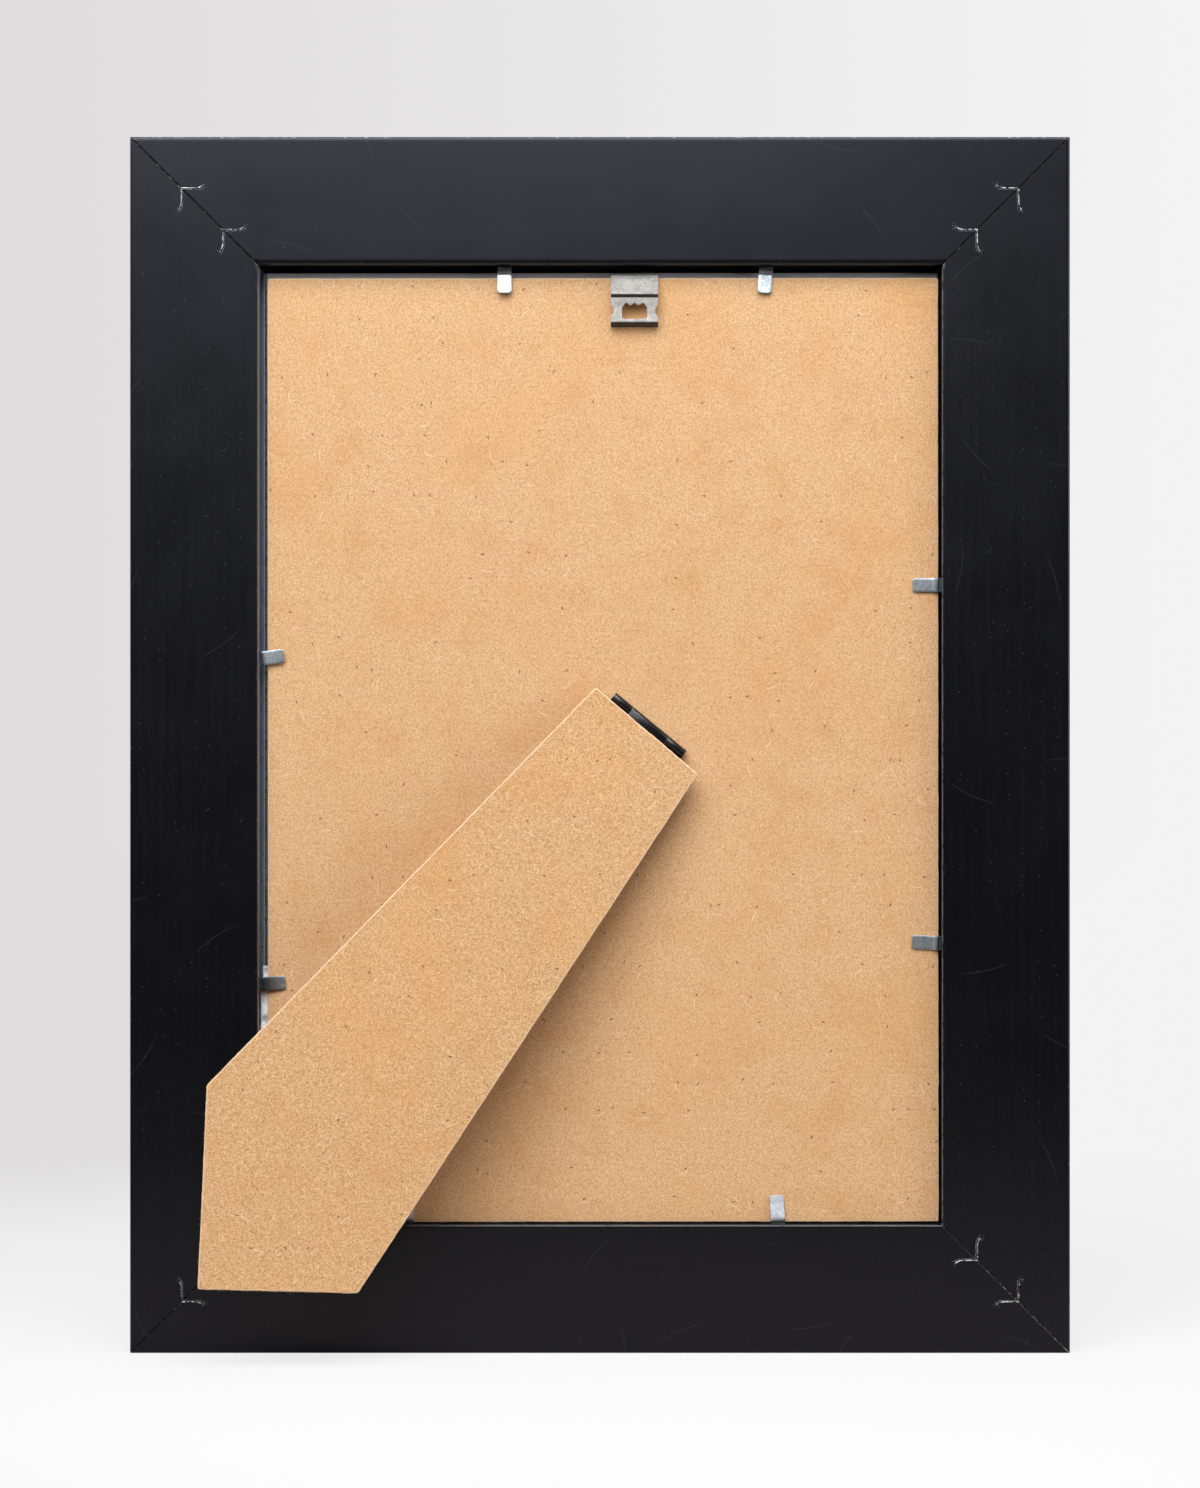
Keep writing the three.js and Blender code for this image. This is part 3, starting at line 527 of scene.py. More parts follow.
def float_glass():
    """Float glass: clear, with the faintest smears of handling."""
    material, tree = start_material("float_glass")
    spot = add(tree, "ShaderNodeTexCoord").outputs["Object"]
    smear = add(tree, "ShaderNodeTexNoise", {"Vector": spot, "Scale": 1 / (SMEAR_MM * MM), "Detail": 3.0})
    rough = add(tree, "ShaderNodeMapRange",
                {"Value": smear, "From Min": 0.5, "From Max": 0.8, "To Min": 0.0, "To Max": 0.04})
    finish_material(tree, {"Base Color": linear("#eef6f2"), "Roughness": rough, "IOR": GLASS_IOR,
                           "Transmission Weight": 1.0})
    return material


def ground_glass():
    """The seamed edge of cut glass: ground matt, so that it reads as a pale line."""
    material, tree = start_material("ground_glass_edge")
    finish_material(tree, {"Base Color": linear("#b4bcc0"), "Roughness": 0.6, "IOR": GLASS_IOR})
    return material


# Paper, and the sheet's back painted grey as shade: matt, with a trace of fibre
MATT_PAPER = {"Roughness": 0.9, "IOR": 1.5}
PAPER = mottled("white_paper", 1.0, 4.0, "#e2e5ea", "#f1f3f7", MATT_PAPER, bump=(0.3, 0.03))
PAPER_BACK_PAINTED_SHADE = mottled("paper_back_painted_shade", 1.0, 4.0, "#b4b7be", "#c6c9cf", MATT_PAPER, bump=(0.3, 0.03))

# Ridges and crumbs of crushed paint beside the nails: pale, chalky, a little blue
TORN_PAINT = mottled("torn_paint", 0.8, 2.0, "#1e2128", "#98a3b1", {"Roughness": 0.85, "IOR": 1.5})
GLASS = float_glass()
GROUND_GLASS = ground_glass()
print("materials:", PAPER.name, PAPER_BACK_PAINTED_SHADE.name, TORN_PAINT.name, GLASS.name, GROUND_GLASS.name)

# %% [markdown]
# ## Rails
# A moulding is one section drawn along a line, and its ends are cut at 45 degrees, so that each
# point of the section starts and stops where its own distance from the outer edge says. A bevelled
# curve can't mitre like that. So the section is written as corners with their rounds, and a loop
# lays it down at stations along the rail. The mesh carries a UV map in metres for the paint, and
# the wear of each arris, with small knocks cut into the rounds.

# %% Rail sizes and section
RAIL_FACE = 39.8
BACK_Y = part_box("rail_bottom")[0].y / MM
FRONT_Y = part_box("rail_bottom")[1].y / MM
REBATE_DEPTH = 10.0
LIP_REACH = 5.5
OUTER_ROUND = 0.8
INNER_ROUND = 0.4
FRONT_ROUND = 1.2
FLAT_GUARD = 0.7
ROUND_STEPS = 5
WORN_STEPS = (2, 3)
MITRE_GAP = 0.1


def arc(centre, radius, start, end, steps):
    """Points on an arc from one angle to another, in degrees."""
    angles = [math.radians(start + (end - start) * k / steps) for k in range(steps + 1)]
    return [(centre[0] + radius * math.cos(a), centre[1] + radius * math.sin(a)) for a in angles]


def rail_section(inner_round):
    """The section as (inward, depth, arris) in mm. Arris names the edge or wall where a point may be worn, or
    on the rebate wall carry a painted reflection.
    """
    lip_y = BACK_Y + REBATE_DEPTH
    lip_end = RAIL_FACE + LIP_REACH
    rounds = [
        ("outer", (OUTER_ROUND, BACK_Y + OUTER_ROUND), OUTER_ROUND, 180),
        ("inner", (RAIL_FACE - inner_round, BACK_Y + inner_round), inner_round, 270),
        ("lip", (lip_end - FRONT_ROUND, FRONT_Y - FRONT_ROUND), FRONT_ROUND, 0),
        ("front", (FRONT_ROUND, FRONT_Y - FRONT_ROUND), FRONT_ROUND, 90),
    ]
    section = []
    for arris, centre, radius, start in rounds:
        curve = arc(centre, radius, start, start + 90, ROUND_STEPS)
        heading = math.radians(start)
        back = (math.sin(heading) * FLAT_GUARD, -math.cos(heading) * FLAT_GUARD)
        ahead = (-math.cos(heading) * FLAT_GUARD, -math.sin(heading) * FLAT_GUARD)
        section.append((curve[0][0] + back[0], curve[0][1] + back[1], None))
        section += [(x, y, arris if k in WORN_STEPS else None) for k, (x, y) in enumerate(curve)]
        follows = "rebate" if arris == "inner" else None
        section.append((curve[-1][0] + ahead[0], curve[-1][1] + ahead[1], follows))
        if arris == "inner":
            section += [(RAIL_FACE, lip_y, "rebate"), (lip_end, lip_y, None)]
    return section


print("points in the section:", len(rail_section(INNER_ROUND)))

# %% Rail sides and stations
STATIONS = 150
MITRE_STRIP = 0.35
HALF_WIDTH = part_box("rail_right")[1].x / MM
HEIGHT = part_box("rail_top")[1].z / MM

# Each side: its middle, the way along it, the way inwards, and the wear of its arrises and ends; on the left
# also a painted reflection on the rebate wall
RAILS = {
    "bottom": {"middle": (0, 0), "along": (1, 0), "inward": (0, 1),
               "inner": (1.0, "#6f7783"), "outer": (0.5, "#5d3a2e"),
               "mitres": ((0.4, "#8a8378"), (0.55, "#b4aca4"))},
    "right": {"middle": (HALF_WIDTH, HEIGHT / 2), "along": (0, 1), "inward": (-1, 0),
              "inner": (0.8, "#68717d"), "outer": (0.2, "#6a6a6e"),
              "mitres": ((0.6, "#a58c80"), (0.3, "#8d877c"))},
    "top": {"middle": (0, HEIGHT), "along": (-1, 0), "inward": (0, -1), "inner_round": 1.2,
            "inner": (0.2, "#3c3b3d"), "outer": (0.3, "#8f8f93"),
            "mitres": ((0.3, "#8d877c"), (0.4, "#8e8c88"))},
    # On the left rail the rebate wall is painted grey: a painted reflection of the gap it mirrors
    "left": {"middle": (-HALF_WIDTH, HEIGHT / 2), "along": (0, -1), "inward": (1, 0),
             "inner": (0.75, "#54483a"), "rebate": (0.95, "#787d86"), "outer": (0.2, "#6a6a6e"),
             "mitres": ((0.4, "#8e8c88"), (0.4, "#8a8378"))},
}


def rail_stations():
    """Places along a rail, as a share of its length and an offset in mm, closer at the mitres."""
    inner = [(k / STATIONS, 0.0) for k in range(1, STATIONS)]
    return [(0.0, 0.0), (0.0, MITRE_STRIP)] + inner + [(1.0, -MITRE_STRIP), (1.0, 0.0)]


print("sides:", list(RAILS), "stations along each:", len(rail_stations()))

# %% Rails
MITRE_SINK = 0.22
MITRE_FADE = 0.4
KNOCK_DEPTH = 0.22
KNOCK_MM = 5
KNOCK_FROM = 0.15
KNOCKED = ("inner", "outer", "lip", "front")
RAIL_SHARP = math.radians(40)


def knock(along, arris, seed):
    """How deep an arris is knocked in at a place along the rail, in mm."""
    if arris not in KNOCKED:
        return 0.0
    rough = noise.noise(Vector((along / KNOCK_MM, seed, 0)))
    return KNOCK_DEPTH * max(0.0, rough - KNOCK_FROM)


def rail_mesh(name, side, seed):
    """One rail with its mitres, its UV map along_rail in metres, its worn arrises and, on the left rail, a
    painted reflection on the rebate wall.
    """
    bm = bmesh.new()
    uv = bm.loops.layers.uv.new("along_rail")
    wear_and_sheen = bm.verts.layers.float.new("wear_and_sheen")
    bare_and_sheen_tint = bm.verts.layers.float_color.new("bare_and_sheen_tint")
    middle, along, inward = (Vector((side[way][0], 0, side[way][1])) for way in ("middle", "along", "inward"))
    half = HALF_WIDTH if side["along"][0] else HEIGHT / 2
    section = rail_section(side.get("inner_round", INNER_ROUND))
    girth = [0.0]
    for (a, b, _), (c, d, _) in zip(section, section[1:]):
        girth.append(girth[-1] + math.hypot(c - a, d - b))
    places = {}
    rings = []
    stations = rail_stations()
    for share, shift in stations:
        ring = []
        for (across, depth, arris), around in zip(section, girth):
            reach = half - across - MITRE_GAP * math.sqrt(0.5)
            x = reach * (2 * share - 1) + shift
            pull = Vector((RAIL_FACE / 2 - across, -depth)).normalized() * knock(x, arris, seed)
            point = middle + along * x + inward * (across + pull.x) + Vector((0, depth + pull.y, 0))
            vert = bm.verts.new(point * MM)
            amount, tint = side.get(arris, (0.0, "#000000"))
            if (share, shift) in (stations[0], stations[-1]):
                amount, tint = side["mitres"][0 if share == 0 else 1]
                amount *= 1 - MITRE_FADE * across / RAIL_FACE
                vert.co.y += MITRE_SINK * MM if depth < BACK_Y + INNER_ROUND else 0.0
            vert[wear_and_sheen] = amount
            vert[bare_and_sheen_tint] = linear(tint)
            places[vert] = (x * MM + seed, around * MM)
            ring.append(vert)
        rings.append(ring)
    skin(bm, rings)
    bm.faces.new(rings[0])
    bm.faces.new(rings[-1])
    bmesh.ops.recalc_face_normals(bm, faces=bm.faces[:])
    closing = (girth[-1] + math.dist(section[-1][:2], section[0][:2])) * MM
    for face in bm.faces:
        turns = [places[v][1] for v in face.verts]
        wraps = max(turns) - min(turns) > closing / 2
        for loop in face.loops:
            u, v = places[loop.vert]
            loop[uv].uv = (u, v + closing if wraps and v < closing / 2 else v)
        face.smooth = True
    mesh = meshed(bm, name, BLACK_PAINT)
    mesh.set_sharp_from_angle(angle=RAIL_SHARP)
    return mesh


for seed, (side_name, side) in enumerate(RAILS.items(), start=1):
    rail = piece("moulding_" + side_name, rail_mesh("moulding_" + side_name, side, seed))
    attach(rail, "frame")
    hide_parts("rail_" + side_name)
    print(rail.name, "faces:", len(rail.data.polygons))

# %% [markdown]
# ## A way to grow pieces with Geometry Nodes
# What repeats is made by Geometry Nodes: the V-nails, the crumbs of paint beside them, the fibres
# of the sawn edges and the steel points. Each tree is built here with named inputs for its sizes.
# A modifier evaluates it on a small seed mesh, the result is turned into a plain mesh, and the
# seed is deleted, so that nothing live is left on the piece.

# %% Trees and growing
SOFT_STEPS = 2
GROWN_SHARP = 40


def new_tree(name, sizes):
    """A geometry tree with named sizes in metres, as (tree, what it is given, output node)."""
    tree = bpy.data.node_groups.new(name, "GeometryNodeTree")
    tree.interface.new_socket("Geometry", in_out="INPUT", socket_type="NodeSocketGeometry")
    for title, value in sizes.items():
        tree.interface.new_socket(title, in_out="INPUT", socket_type="NodeSocketFloat").default_value = value
    tree.interface.new_socket("Geometry", in_out="OUTPUT", socket_type="NodeSocketGeometry")
    return tree, tree.nodes.new("NodeGroupInput").outputs, tree.nodes.new("NodeGroupOutput")


def soften(holder, width, degrees):
    """Gives a holder a rounded bevel, in metres, on edges that turn by more than some degrees."""
    bevel = holder.modifiers.new("soften", "BEVEL")
    bevel.width = width
    bevel.segments = SOFT_STEPS
    bevel.limit_method = "ANGLE"
    bevel.angle_limit = math.radians(degrees)


def settle(holder, name):
    """What the holder's modifiers make, as a plain piece of that name. The holder is removed."""
    depsgraph = bpy.context.evaluated_depsgraph_get()
    mesh = bpy.data.meshes.new_from_object(holder.evaluated_get(depsgraph), depsgraph=depsgraph)
    bpy.data.objects.remove(holder)
    return piece(name, mesh)


def dress(made, material):
    """Gives a piece one material for all its faces."""
    made.data.materials.clear()
    made.data.materials.append(material)


def grow(name, seed_mesh, tree, sizes=None, bevel=0.0):
    """Evaluates a tree on a seed mesh with the given sizes, and bevels the result's sharp edges."""
    holder = piece(name + "_seed", seed_mesh)
    modifier = holder.modifiers.new("grow", "NODES")
    modifier.node_group = tree
    for socket in tree.interface.items_tree:
        if socket.in_out == "INPUT" and socket.name in (sizes or {}):
            modifier[socket.identifier] = sizes[socket.name]
    if bevel:
        soften(holder, bevel, GROWN_SHARP)
    grown = settle(holder, name)
    dress(grown, grown.data.materials[-1])
    return grown


def seed_points(name, places, turns):
    """Loose points in metres, each with a turn in radians about Y."""
    mesh = bpy.data.meshes.new(name)
    mesh.from_pydata(places, [], [])
    turn = mesh.attributes.new("turn", "FLOAT", "POINT")
    turn.data.foreach_set("value", turns)
    return mesh


# %% [markdown]
# ## V-nails
# A V-nail is a strip of steel folded to a right angle and pressed edge-on across the mitre, with
# its tips curled out. On the back only its edge shows, as a bright thin angle. One tree draws the
# angle from its leg, curl and flare, sweeps the strip's section along it, and sets it at each of
# the eight places, turned to its corner.

# %% The line of a V-nail
NAIL = {"Leg": 6.9 * MM, "Curl": 2.6 * MM, "Flare": 0.9 * MM, "Gauge": 0.32 * MM, "Length": 10 * MM}
NAIL_HALF_STEPS = 16


def nail_line(tree, given):
    """The angle of a nail in X and Z as a curve: its bend at the origin, its tips curled out."""
    line = add(tree, "GeometryNodeMeshLine", {"Count": 2 * NAIL_HALF_STEPS + 1})
    index = add(tree, "GeometryNodeInputIndex")
    place = add(tree, "ShaderNodeMath", {0: index, 1: 1 / NAIL_HALF_STEPS, 2: -1.0}, operation="MULTIPLY_ADD")
    share = add(tree, "ShaderNodeMath", {0: place}, operation="ABSOLUTE")
    reach = add(tree, "ShaderNodeMath", {0: share, 1: given["Leg"]}, operation="MULTIPLY")
    straight = add(tree, "ShaderNodeMath", {0: given["Leg"], 1: given["Curl"]}, operation="SUBTRACT")
    past = add(tree, "ShaderNodeMath", {0: reach, 1: straight}, operation="SUBTRACT")
    curled = add(tree, "ShaderNodeMath", {0: past, 1: given["Curl"]}, operation="DIVIDE", use_clamp=True)
    squared = add(tree, "ShaderNodeMath", {0: curled, 1: curled}, operation="MULTIPLY")
    flare = add(tree, "ShaderNodeMath", {0: squared, 1: given["Flare"]}, operation="MULTIPLY")
    out = add(tree, "ShaderNodeMath", {0: flare, 1: -1.0}, operation="MULTIPLY")
    first = add(tree, "ShaderNodeMath", {0: place, 1: 0.0}, operation="GREATER_THAN")
    x = add(tree, "ShaderNodeMix", {0: first, 2: out, 3: reach})
    z = add(tree, "ShaderNodeMix", {0: first, 2: reach, 3: out})
    spot = add(tree, "ShaderNodeCombineXYZ", {"X": x, "Z": z})
    angle = add(tree, "GeometryNodeSetPosition", {"Geometry": line, "Position": spot})
    return add(tree, "GeometryNodeMeshToCurve", {"Mesh": angle})


print("nail leg mm:", round(NAIL["Leg"] / MM, 2), "steps along it:", NAIL_HALF_STEPS)

# %% V-nail tree
def at_each_place(tree, given, shape):
    """A shape set at every seed point and turned by the point's own turn about Y."""
    turn = add(tree, "GeometryNodeInputNamedAttribute", {"Name": "turn"}, data_type="FLOAT")
    euler = add(tree, "ShaderNodeCombineXYZ", {"Y": turn})
    rotation = add(tree, "FunctionNodeEulerToRotation", {0: euler})
    return add(tree, "GeometryNodeInstanceOnPoints",
               {"Points": given["Geometry"], "Instance": shape, "Rotation": rotation})


def finish_tree(tree, end, instances, material):
    """Ends a tree: instances become real faces and take their material."""
    real = add(tree, "GeometryNodeRealizeInstances", {0: instances})
    dressed = add(tree, "GeometryNodeSetMaterial", {"Geometry": real, "Material": material})
    tree.links.new(dressed.outputs[0], end.inputs[0])
    return tree


def v_nail_tree():
    """The strip of a nail, swept along its angle and set at every place."""
    tree, given, end = new_tree("v_nails", NAIL)
    strip = add(tree, "GeometryNodeCurvePrimitiveQuadrilateral",
                {"Width": given["Length"], "Height": given["Gauge"]})
    nail = add(tree, "GeometryNodeCurveToMesh",
               {"Curve": nail_line(tree, given), "Profile Curve": strip, "Fill Caps": True})
    return finish_tree(tree, end, at_each_place(tree, given, nail), NAIL_STEEL)


V_NAIL_TREE = v_nail_tree()
print("tree:", V_NAIL_TREE.name)

# %% V-nails
NAIL_PROUD = 0.06
NAIL_SETBACKS = {"outer": 16.0, "inner": 28.9}

# Each corner: its side, whether it is at the top, and the turn of its nails in degrees
CORNERS = {"bottom_left": (-1, 0, 0), "bottom_right": (1, 0, -90),
           "top_right": (1, 1, 180), "top_left": (-1, 1, 90)}


def nail_places(depth):
    """The bend of each nail in metres, at a depth in mm, with the turn of its corner."""
    places, turns = [], []
    for side, top, degrees in CORNERS.values():
        for setback in NAIL_SETBACKS.values():
            z = HEIGHT - setback if top else setback
            places.append((side * (HALF_WIDTH - setback) * MM, depth * MM, z * MM))
            turns.append(math.radians(degrees))
    return places, turns


nail_middle = BACK_Y - NAIL_PROUD + NAIL["Length"] / MM / 2
v_nails = grow("v_nails", seed_points("nail_seed", *nail_places(nail_middle)), V_NAIL_TREE)
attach(v_nails, "frame")
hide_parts(*[f"v_nail_{corner}_{row}" for corner in CORNERS for row in NAIL_SETBACKS])
print("v_nails faces:", len(v_nails.data.polygons), "reach mm:", round(v_nails.dimensions.x / MM, 2))

# %% [markdown]
# ## Crushed paint
# Pressing the nails in lifts the paint on their inner side into a broken pale ridge, and crushes
# it to crumbs at the curled tips. They could be painted on, but a ridge that stands a hair above
# the face catches the light as the real one does. The ridge is the nail's own line, moved inwards
# and swept with a bead that swells and fails at random. The crumbs are strewn by a dice with a
# fixed seed, along each leg and about each tip, and a tree sets a five-sided chip on each.

# %% Paint ridges
RIDGE = {**NAIL, "Bead": 0.1 * MM, "Beside": 0.46 * MM}
RIDGE_STEPS = 41
BEAD_SIDES = 5
BEAD_SWELLS = (0.1, 1.2)


def ridge_tree():
    """A broken bead beside every nail, along its inner side."""
    tree, given, end = new_tree("paint_ridges", RIDGE)
    line = add(tree, "GeometryNodeResampleCurve", {"Curve": nail_line(tree, given), "Count": RIDGE_STEPS})
    inwards = add(tree, "ShaderNodeCombineXYZ", {"X": given["Beside"], "Z": given["Beside"]})
    beside = add(tree, "GeometryNodeSetPosition", {"Geometry": line, "Offset": inwards})
    lines = add(tree, "GeometryNodeRealizeInstances", {0: at_each_place(tree, given, beside)})
    bead = add(tree, "GeometryNodeCurvePrimitiveCircle",
               {"Resolution": BEAD_SIDES, "Radius": given["Bead"]})
    swell = add(tree, "FunctionNodeRandomValue", {2: BEAD_SWELLS[0], 3: BEAD_SWELLS[1], "Seed": 11},
                data_type="FLOAT")
    ridges = add(tree, "GeometryNodeCurveToMesh",
                 {"Curve": lines, "Profile Curve": bead, "Scale": swell.outputs[1], "Fill Caps": True})
    return finish_tree(tree, end, ridges, TORN_PAINT)


ridges = grow("paint_ridges", seed_points("ridge_seed", *nail_places(BACK_Y)), ridge_tree())
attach(ridges, "frame")
print("paint_ridges faces:", len(ridges.data.polygons))

# %% Paint crumbs
CRUMB = {"Crumb": 0.13 * MM, "Tip": 0.04 * MM, "Height": 0.1 * MM}
CRUMBS_ON_LEG = 14
CRUMBS_AT_TIP = 26
BESIDE_LEG = 0.35
LEG_SPRAY = 0.2
TIP_SPRAY = 0.55
CRUMB_SIDES = 5
CRUMB_SHRINKS = (0.15, 0.9)
CRUMB_SEED = 17

# Turns about X, Y and Z in radians: nearly flat on the back face, and any way round
CRUMB_TURNS = ((1.3, 0.0, 0.0), (1.8, math.tau, 0.4))


def crumb_places(seed):
    """Where the crumbs lie, in metres: beside each leg of each nail, and sprayed about its tip."""
    dice = random.Random(seed)
    places = []
    for bend, turn in zip(*nail_places(BACK_Y)):
        for other_leg in (False, True):
            spots = [(dice.uniform(0, NAIL["Leg"]), dice.gauss(BESIDE_LEG, LEG_SPRAY) * MM)
                     for _ in range(CRUMBS_ON_LEG)]
            spots += [(NAIL["Leg"] + dice.gauss(0, TIP_SPRAY) * MM,
                       dice.gauss(0, TIP_SPRAY) * MM - NAIL["Flare"]) for _ in range(CRUMBS_AT_TIP)]
            for along, beside in spots:
                spot = Vector((beside, 0, along) if other_leg else (along, 0, beside))
                places.append(Vector(bend) + Matrix.Rotation(turn, 3, "Y") @ spot)
    return places


def crumb_tree():
    """A five-sided chip on every seed point, tipped and sized at random."""
    tree, given, end = new_tree("paint_crumbs", CRUMB)
    chip = add(tree, "GeometryNodeMeshCone",
               {"Vertices": CRUMB_SIDES, "Radius Bottom": given["Crumb"],
                "Radius Top": given["Tip"], "Depth": given["Height"]})
    spin = add(tree, "FunctionNodeRandomValue",
               {"Min": CRUMB_TURNS[0], "Max": CRUMB_TURNS[1], "Seed": 12}, data_type="FLOAT_VECTOR")
    size = add(tree, "FunctionNodeRandomValue", {2: CRUMB_SHRINKS[0], 3: CRUMB_SHRINKS[1], "Seed": 13},
               data_type="FLOAT")
    rotation = add(tree, "FunctionNodeEulerToRotation", {0: spin})
    crumbs = add(tree, "GeometryNodeInstanceOnPoints",
                 {"Points": given["Geometry"], "Instance": chip, "Rotation": rotation,
                  "Scale": size.outputs[1]})
    return finish_tree(tree, end, crumbs, TORN_PAINT)


places = crumb_places(CRUMB_SEED)
crumbs = grow("paint_crumbs", seed_points("crumb_seed", places, [0.0] * len(places)), crumb_tree())
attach(crumbs, "frame")
print("paint_crumbs:", len(places), "faces:", len(crumbs.data.polygons))

# %% [markdown]
# ## Fibreboard panels
# The back and the leg are sawn from the same board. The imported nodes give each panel's outline
# and thickness, so the panel's plane and corners are read from them. What they lack is the sawn
# edge: it wanders by a tenth of a millimetre, and its arrises are rubbed round and furry. A loop
# walks round the outline in millimetre steps and lays down rings from the back face to the front.

# %% Panel outlines
CORNER_TURN = math.radians(4)
SAME_SPOT = 0.1


def panel_axes(node):
    """A flat node's normal towards the back, and two axes in its plane."""
    largest = max(frame["nodes"][node].data.polygons, key=lambda face: face.area)
    normal = largest.normal.copy()
    if normal.y > 0:
        normal.negate()
    up = (Vector((0, 0, 1)) - normal * normal.z).normalized()
    return normal, up.cross(normal), up


def panel_corners(node):
    """The corners of a flat node's outline in its own plane, and its back and front depths."""
    normal, across, up = panel_axes(node)
    points = [v.co for v in frame["nodes"][node].data.vertices]
    flat = [Vector((p.dot(across), p.dot(up))) for p in points]
    hull = []
    for spot in (flat[i] for i in convex_hull_2d(flat)):
        if all((spot - kept).length > SAME_SPOT * MM for kept in hull):
            hull.append(spot)
    corners = []
    for before, here, after in zip(hull[-1:] + hull[:-1], hull, hull[1:] + hull[:1]):
        if abs((here - before).angle_signed(after - here)) > CORNER_TURN:
            corners.append(here)
    depths = [p.dot(normal) for p in points]
    return corners, max(depths), min(depths)


for node in ("backing_board", "leg"):
    corners, back, front = panel_corners(node)
    print(node, "corners:", len(corners), "thickness mm:", round((back - front) / MM, 3))

# %% Sawn edges
EDGE_STEP = 1.0
ARRIS_STEPS = 4
CAP_GUARD = 0.06

# How a saw cut wanders: the length of a wave in mm, and its share of the roughness
WANDER = ((6, 0.6), (1.3, 0.7))


def sawn_outline(corners, rough, seed):
    """Points round a panel's edge with their outward directions, wandering like a saw cut."""
    middle = sum(corners, Vector((0, 0))) / len(corners)
    outline = []
    for first, second in zip(corners, corners[1:] + corners[:1]):
        run = second - first
        out = Vector((run.y, -run.x)).normalized()
        if out.dot(first - middle) < 0:
            out.negate()
        steps = max(2, round(run.length / (EDGE_STEP * MM)))
        for k in range(steps):
            spot = first + run * ((k + 0.5) / steps)
            here = Vector((spot.x, spot.y, seed))
            cut = sum(share * noise.noise(here / (wave * MM)) for wave, share in WANDER)
            outline.append((spot + out * rough * cut, out))
    return outline


def panel_rings(thickness, arris):
    """Rings from the back face to the front as (inset, depth, on the back arris), in metres."""
    guard = CAP_GUARD * MM
    angles = [math.radians(90 * k / ARRIS_STEPS) for k in range(ARRIS_STEPS + 1)]
    rings = [(arris + guard, 0.0, 0.0)]
    rings += [(arris * (1 - math.sin(a)), arris * (1 - math.cos(a)), 1.0) for a in angles]
    half = arris / 2
    rings += [(half * (1 - math.cos(a)), thickness - half * (1 - math.sin(a)), 0.0) for a in angles]
    return rings + [(half + guard, thickness, 0.0)]


print("points round the leg:", len(sawn_outline(panel_corners("leg")[0], 0.0, 0)))

# %% Panels
# Sizes in mm
PANELS = {
    "back_panel": {"node": "backing_board", "body": "frame", "board": BACK_BOARD, "seed": 3,
                   "arris": 0.35, "rough": 0.12, "fibre": 0.4},
    "strut_leg_panel": {"node": "leg", "body": "strut_leg", "board": LEG_BOARD_PAINTED_SHADE, "seed": 5,
                        "arris": 0.4, "rough": 0.16, "fibre": 0.75},
}


def panel_mesh(name, made):
    """A sawn fibreboard panel in the place of a flat node."""
    normal, across, up = panel_axes(made["node"])
    corners, back, front = panel_corners(made["node"])
    outline = sawn_outline(corners, made["rough"] * MM, made["seed"])
    bm = bmesh.new()
    mark = bm.verts.layers.float.new("arris")
    rings = []
    for inset, depth, on_arris in panel_rings(back - front, made["arris"] * MM):
        ring = []
        for spot, out in outline:
            flat = spot - out * inset
            vert = bm.verts.new(across * flat.x + up * flat.y + normal * (back - depth))
            vert[mark] = on_arris
            ring.append(vert)
        rings.append(ring)
    skin(bm, rings)
    for ring in (rings[0], rings[-1]):
        rim = [bm.edges.get(pair) for pair in zip(ring, ring[1:] + ring[:1])]
        bmesh.ops.triangle_fill(bm, use_beauty=True, edges=rim)
    bmesh.ops.recalc_face_normals(bm, faces=bm.faces[:])
    for face in bm.faces:
        face.smooth = True
    return meshed(bm, name, made["board"])


for name, made in PANELS.items():
    panel = piece(name, panel_mesh(name, made))
    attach(panel, made["body"])
    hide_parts(made["node"])
    print(name, "faces:", len(panel.data.polygons))

# %% [markdown]
# ## Edge fibres
# A sawn fibreboard edge is furry: short pale fibres stand out of the arris. Particle hair would
# do it, but it doesn't become a mesh by itself. A tree walks along the arris as a curve and sets a
# thin three-sided spike at each step, with a random lean and length. Where a steel point presses on
# the board's edge the fibres lie flat, so the line is left open there.

# %% Edge fibres
FIBRE = {"Spacing": 0.45 * MM, "Thickness": 0.07 * MM, "Tip": 0.015 * MM, "Fibre": 0.75 * MM}
FIBRE_SIDES = 3
FIBRE_SHRINKS = (0.3, 1.2)
ARRIS_DEPTH = 0.4
PRESSED_REACH = 1.0 * MM
BLADE_BOXES = [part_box(node) for node in frame["nodes"] if node.startswith("point_blade_")]


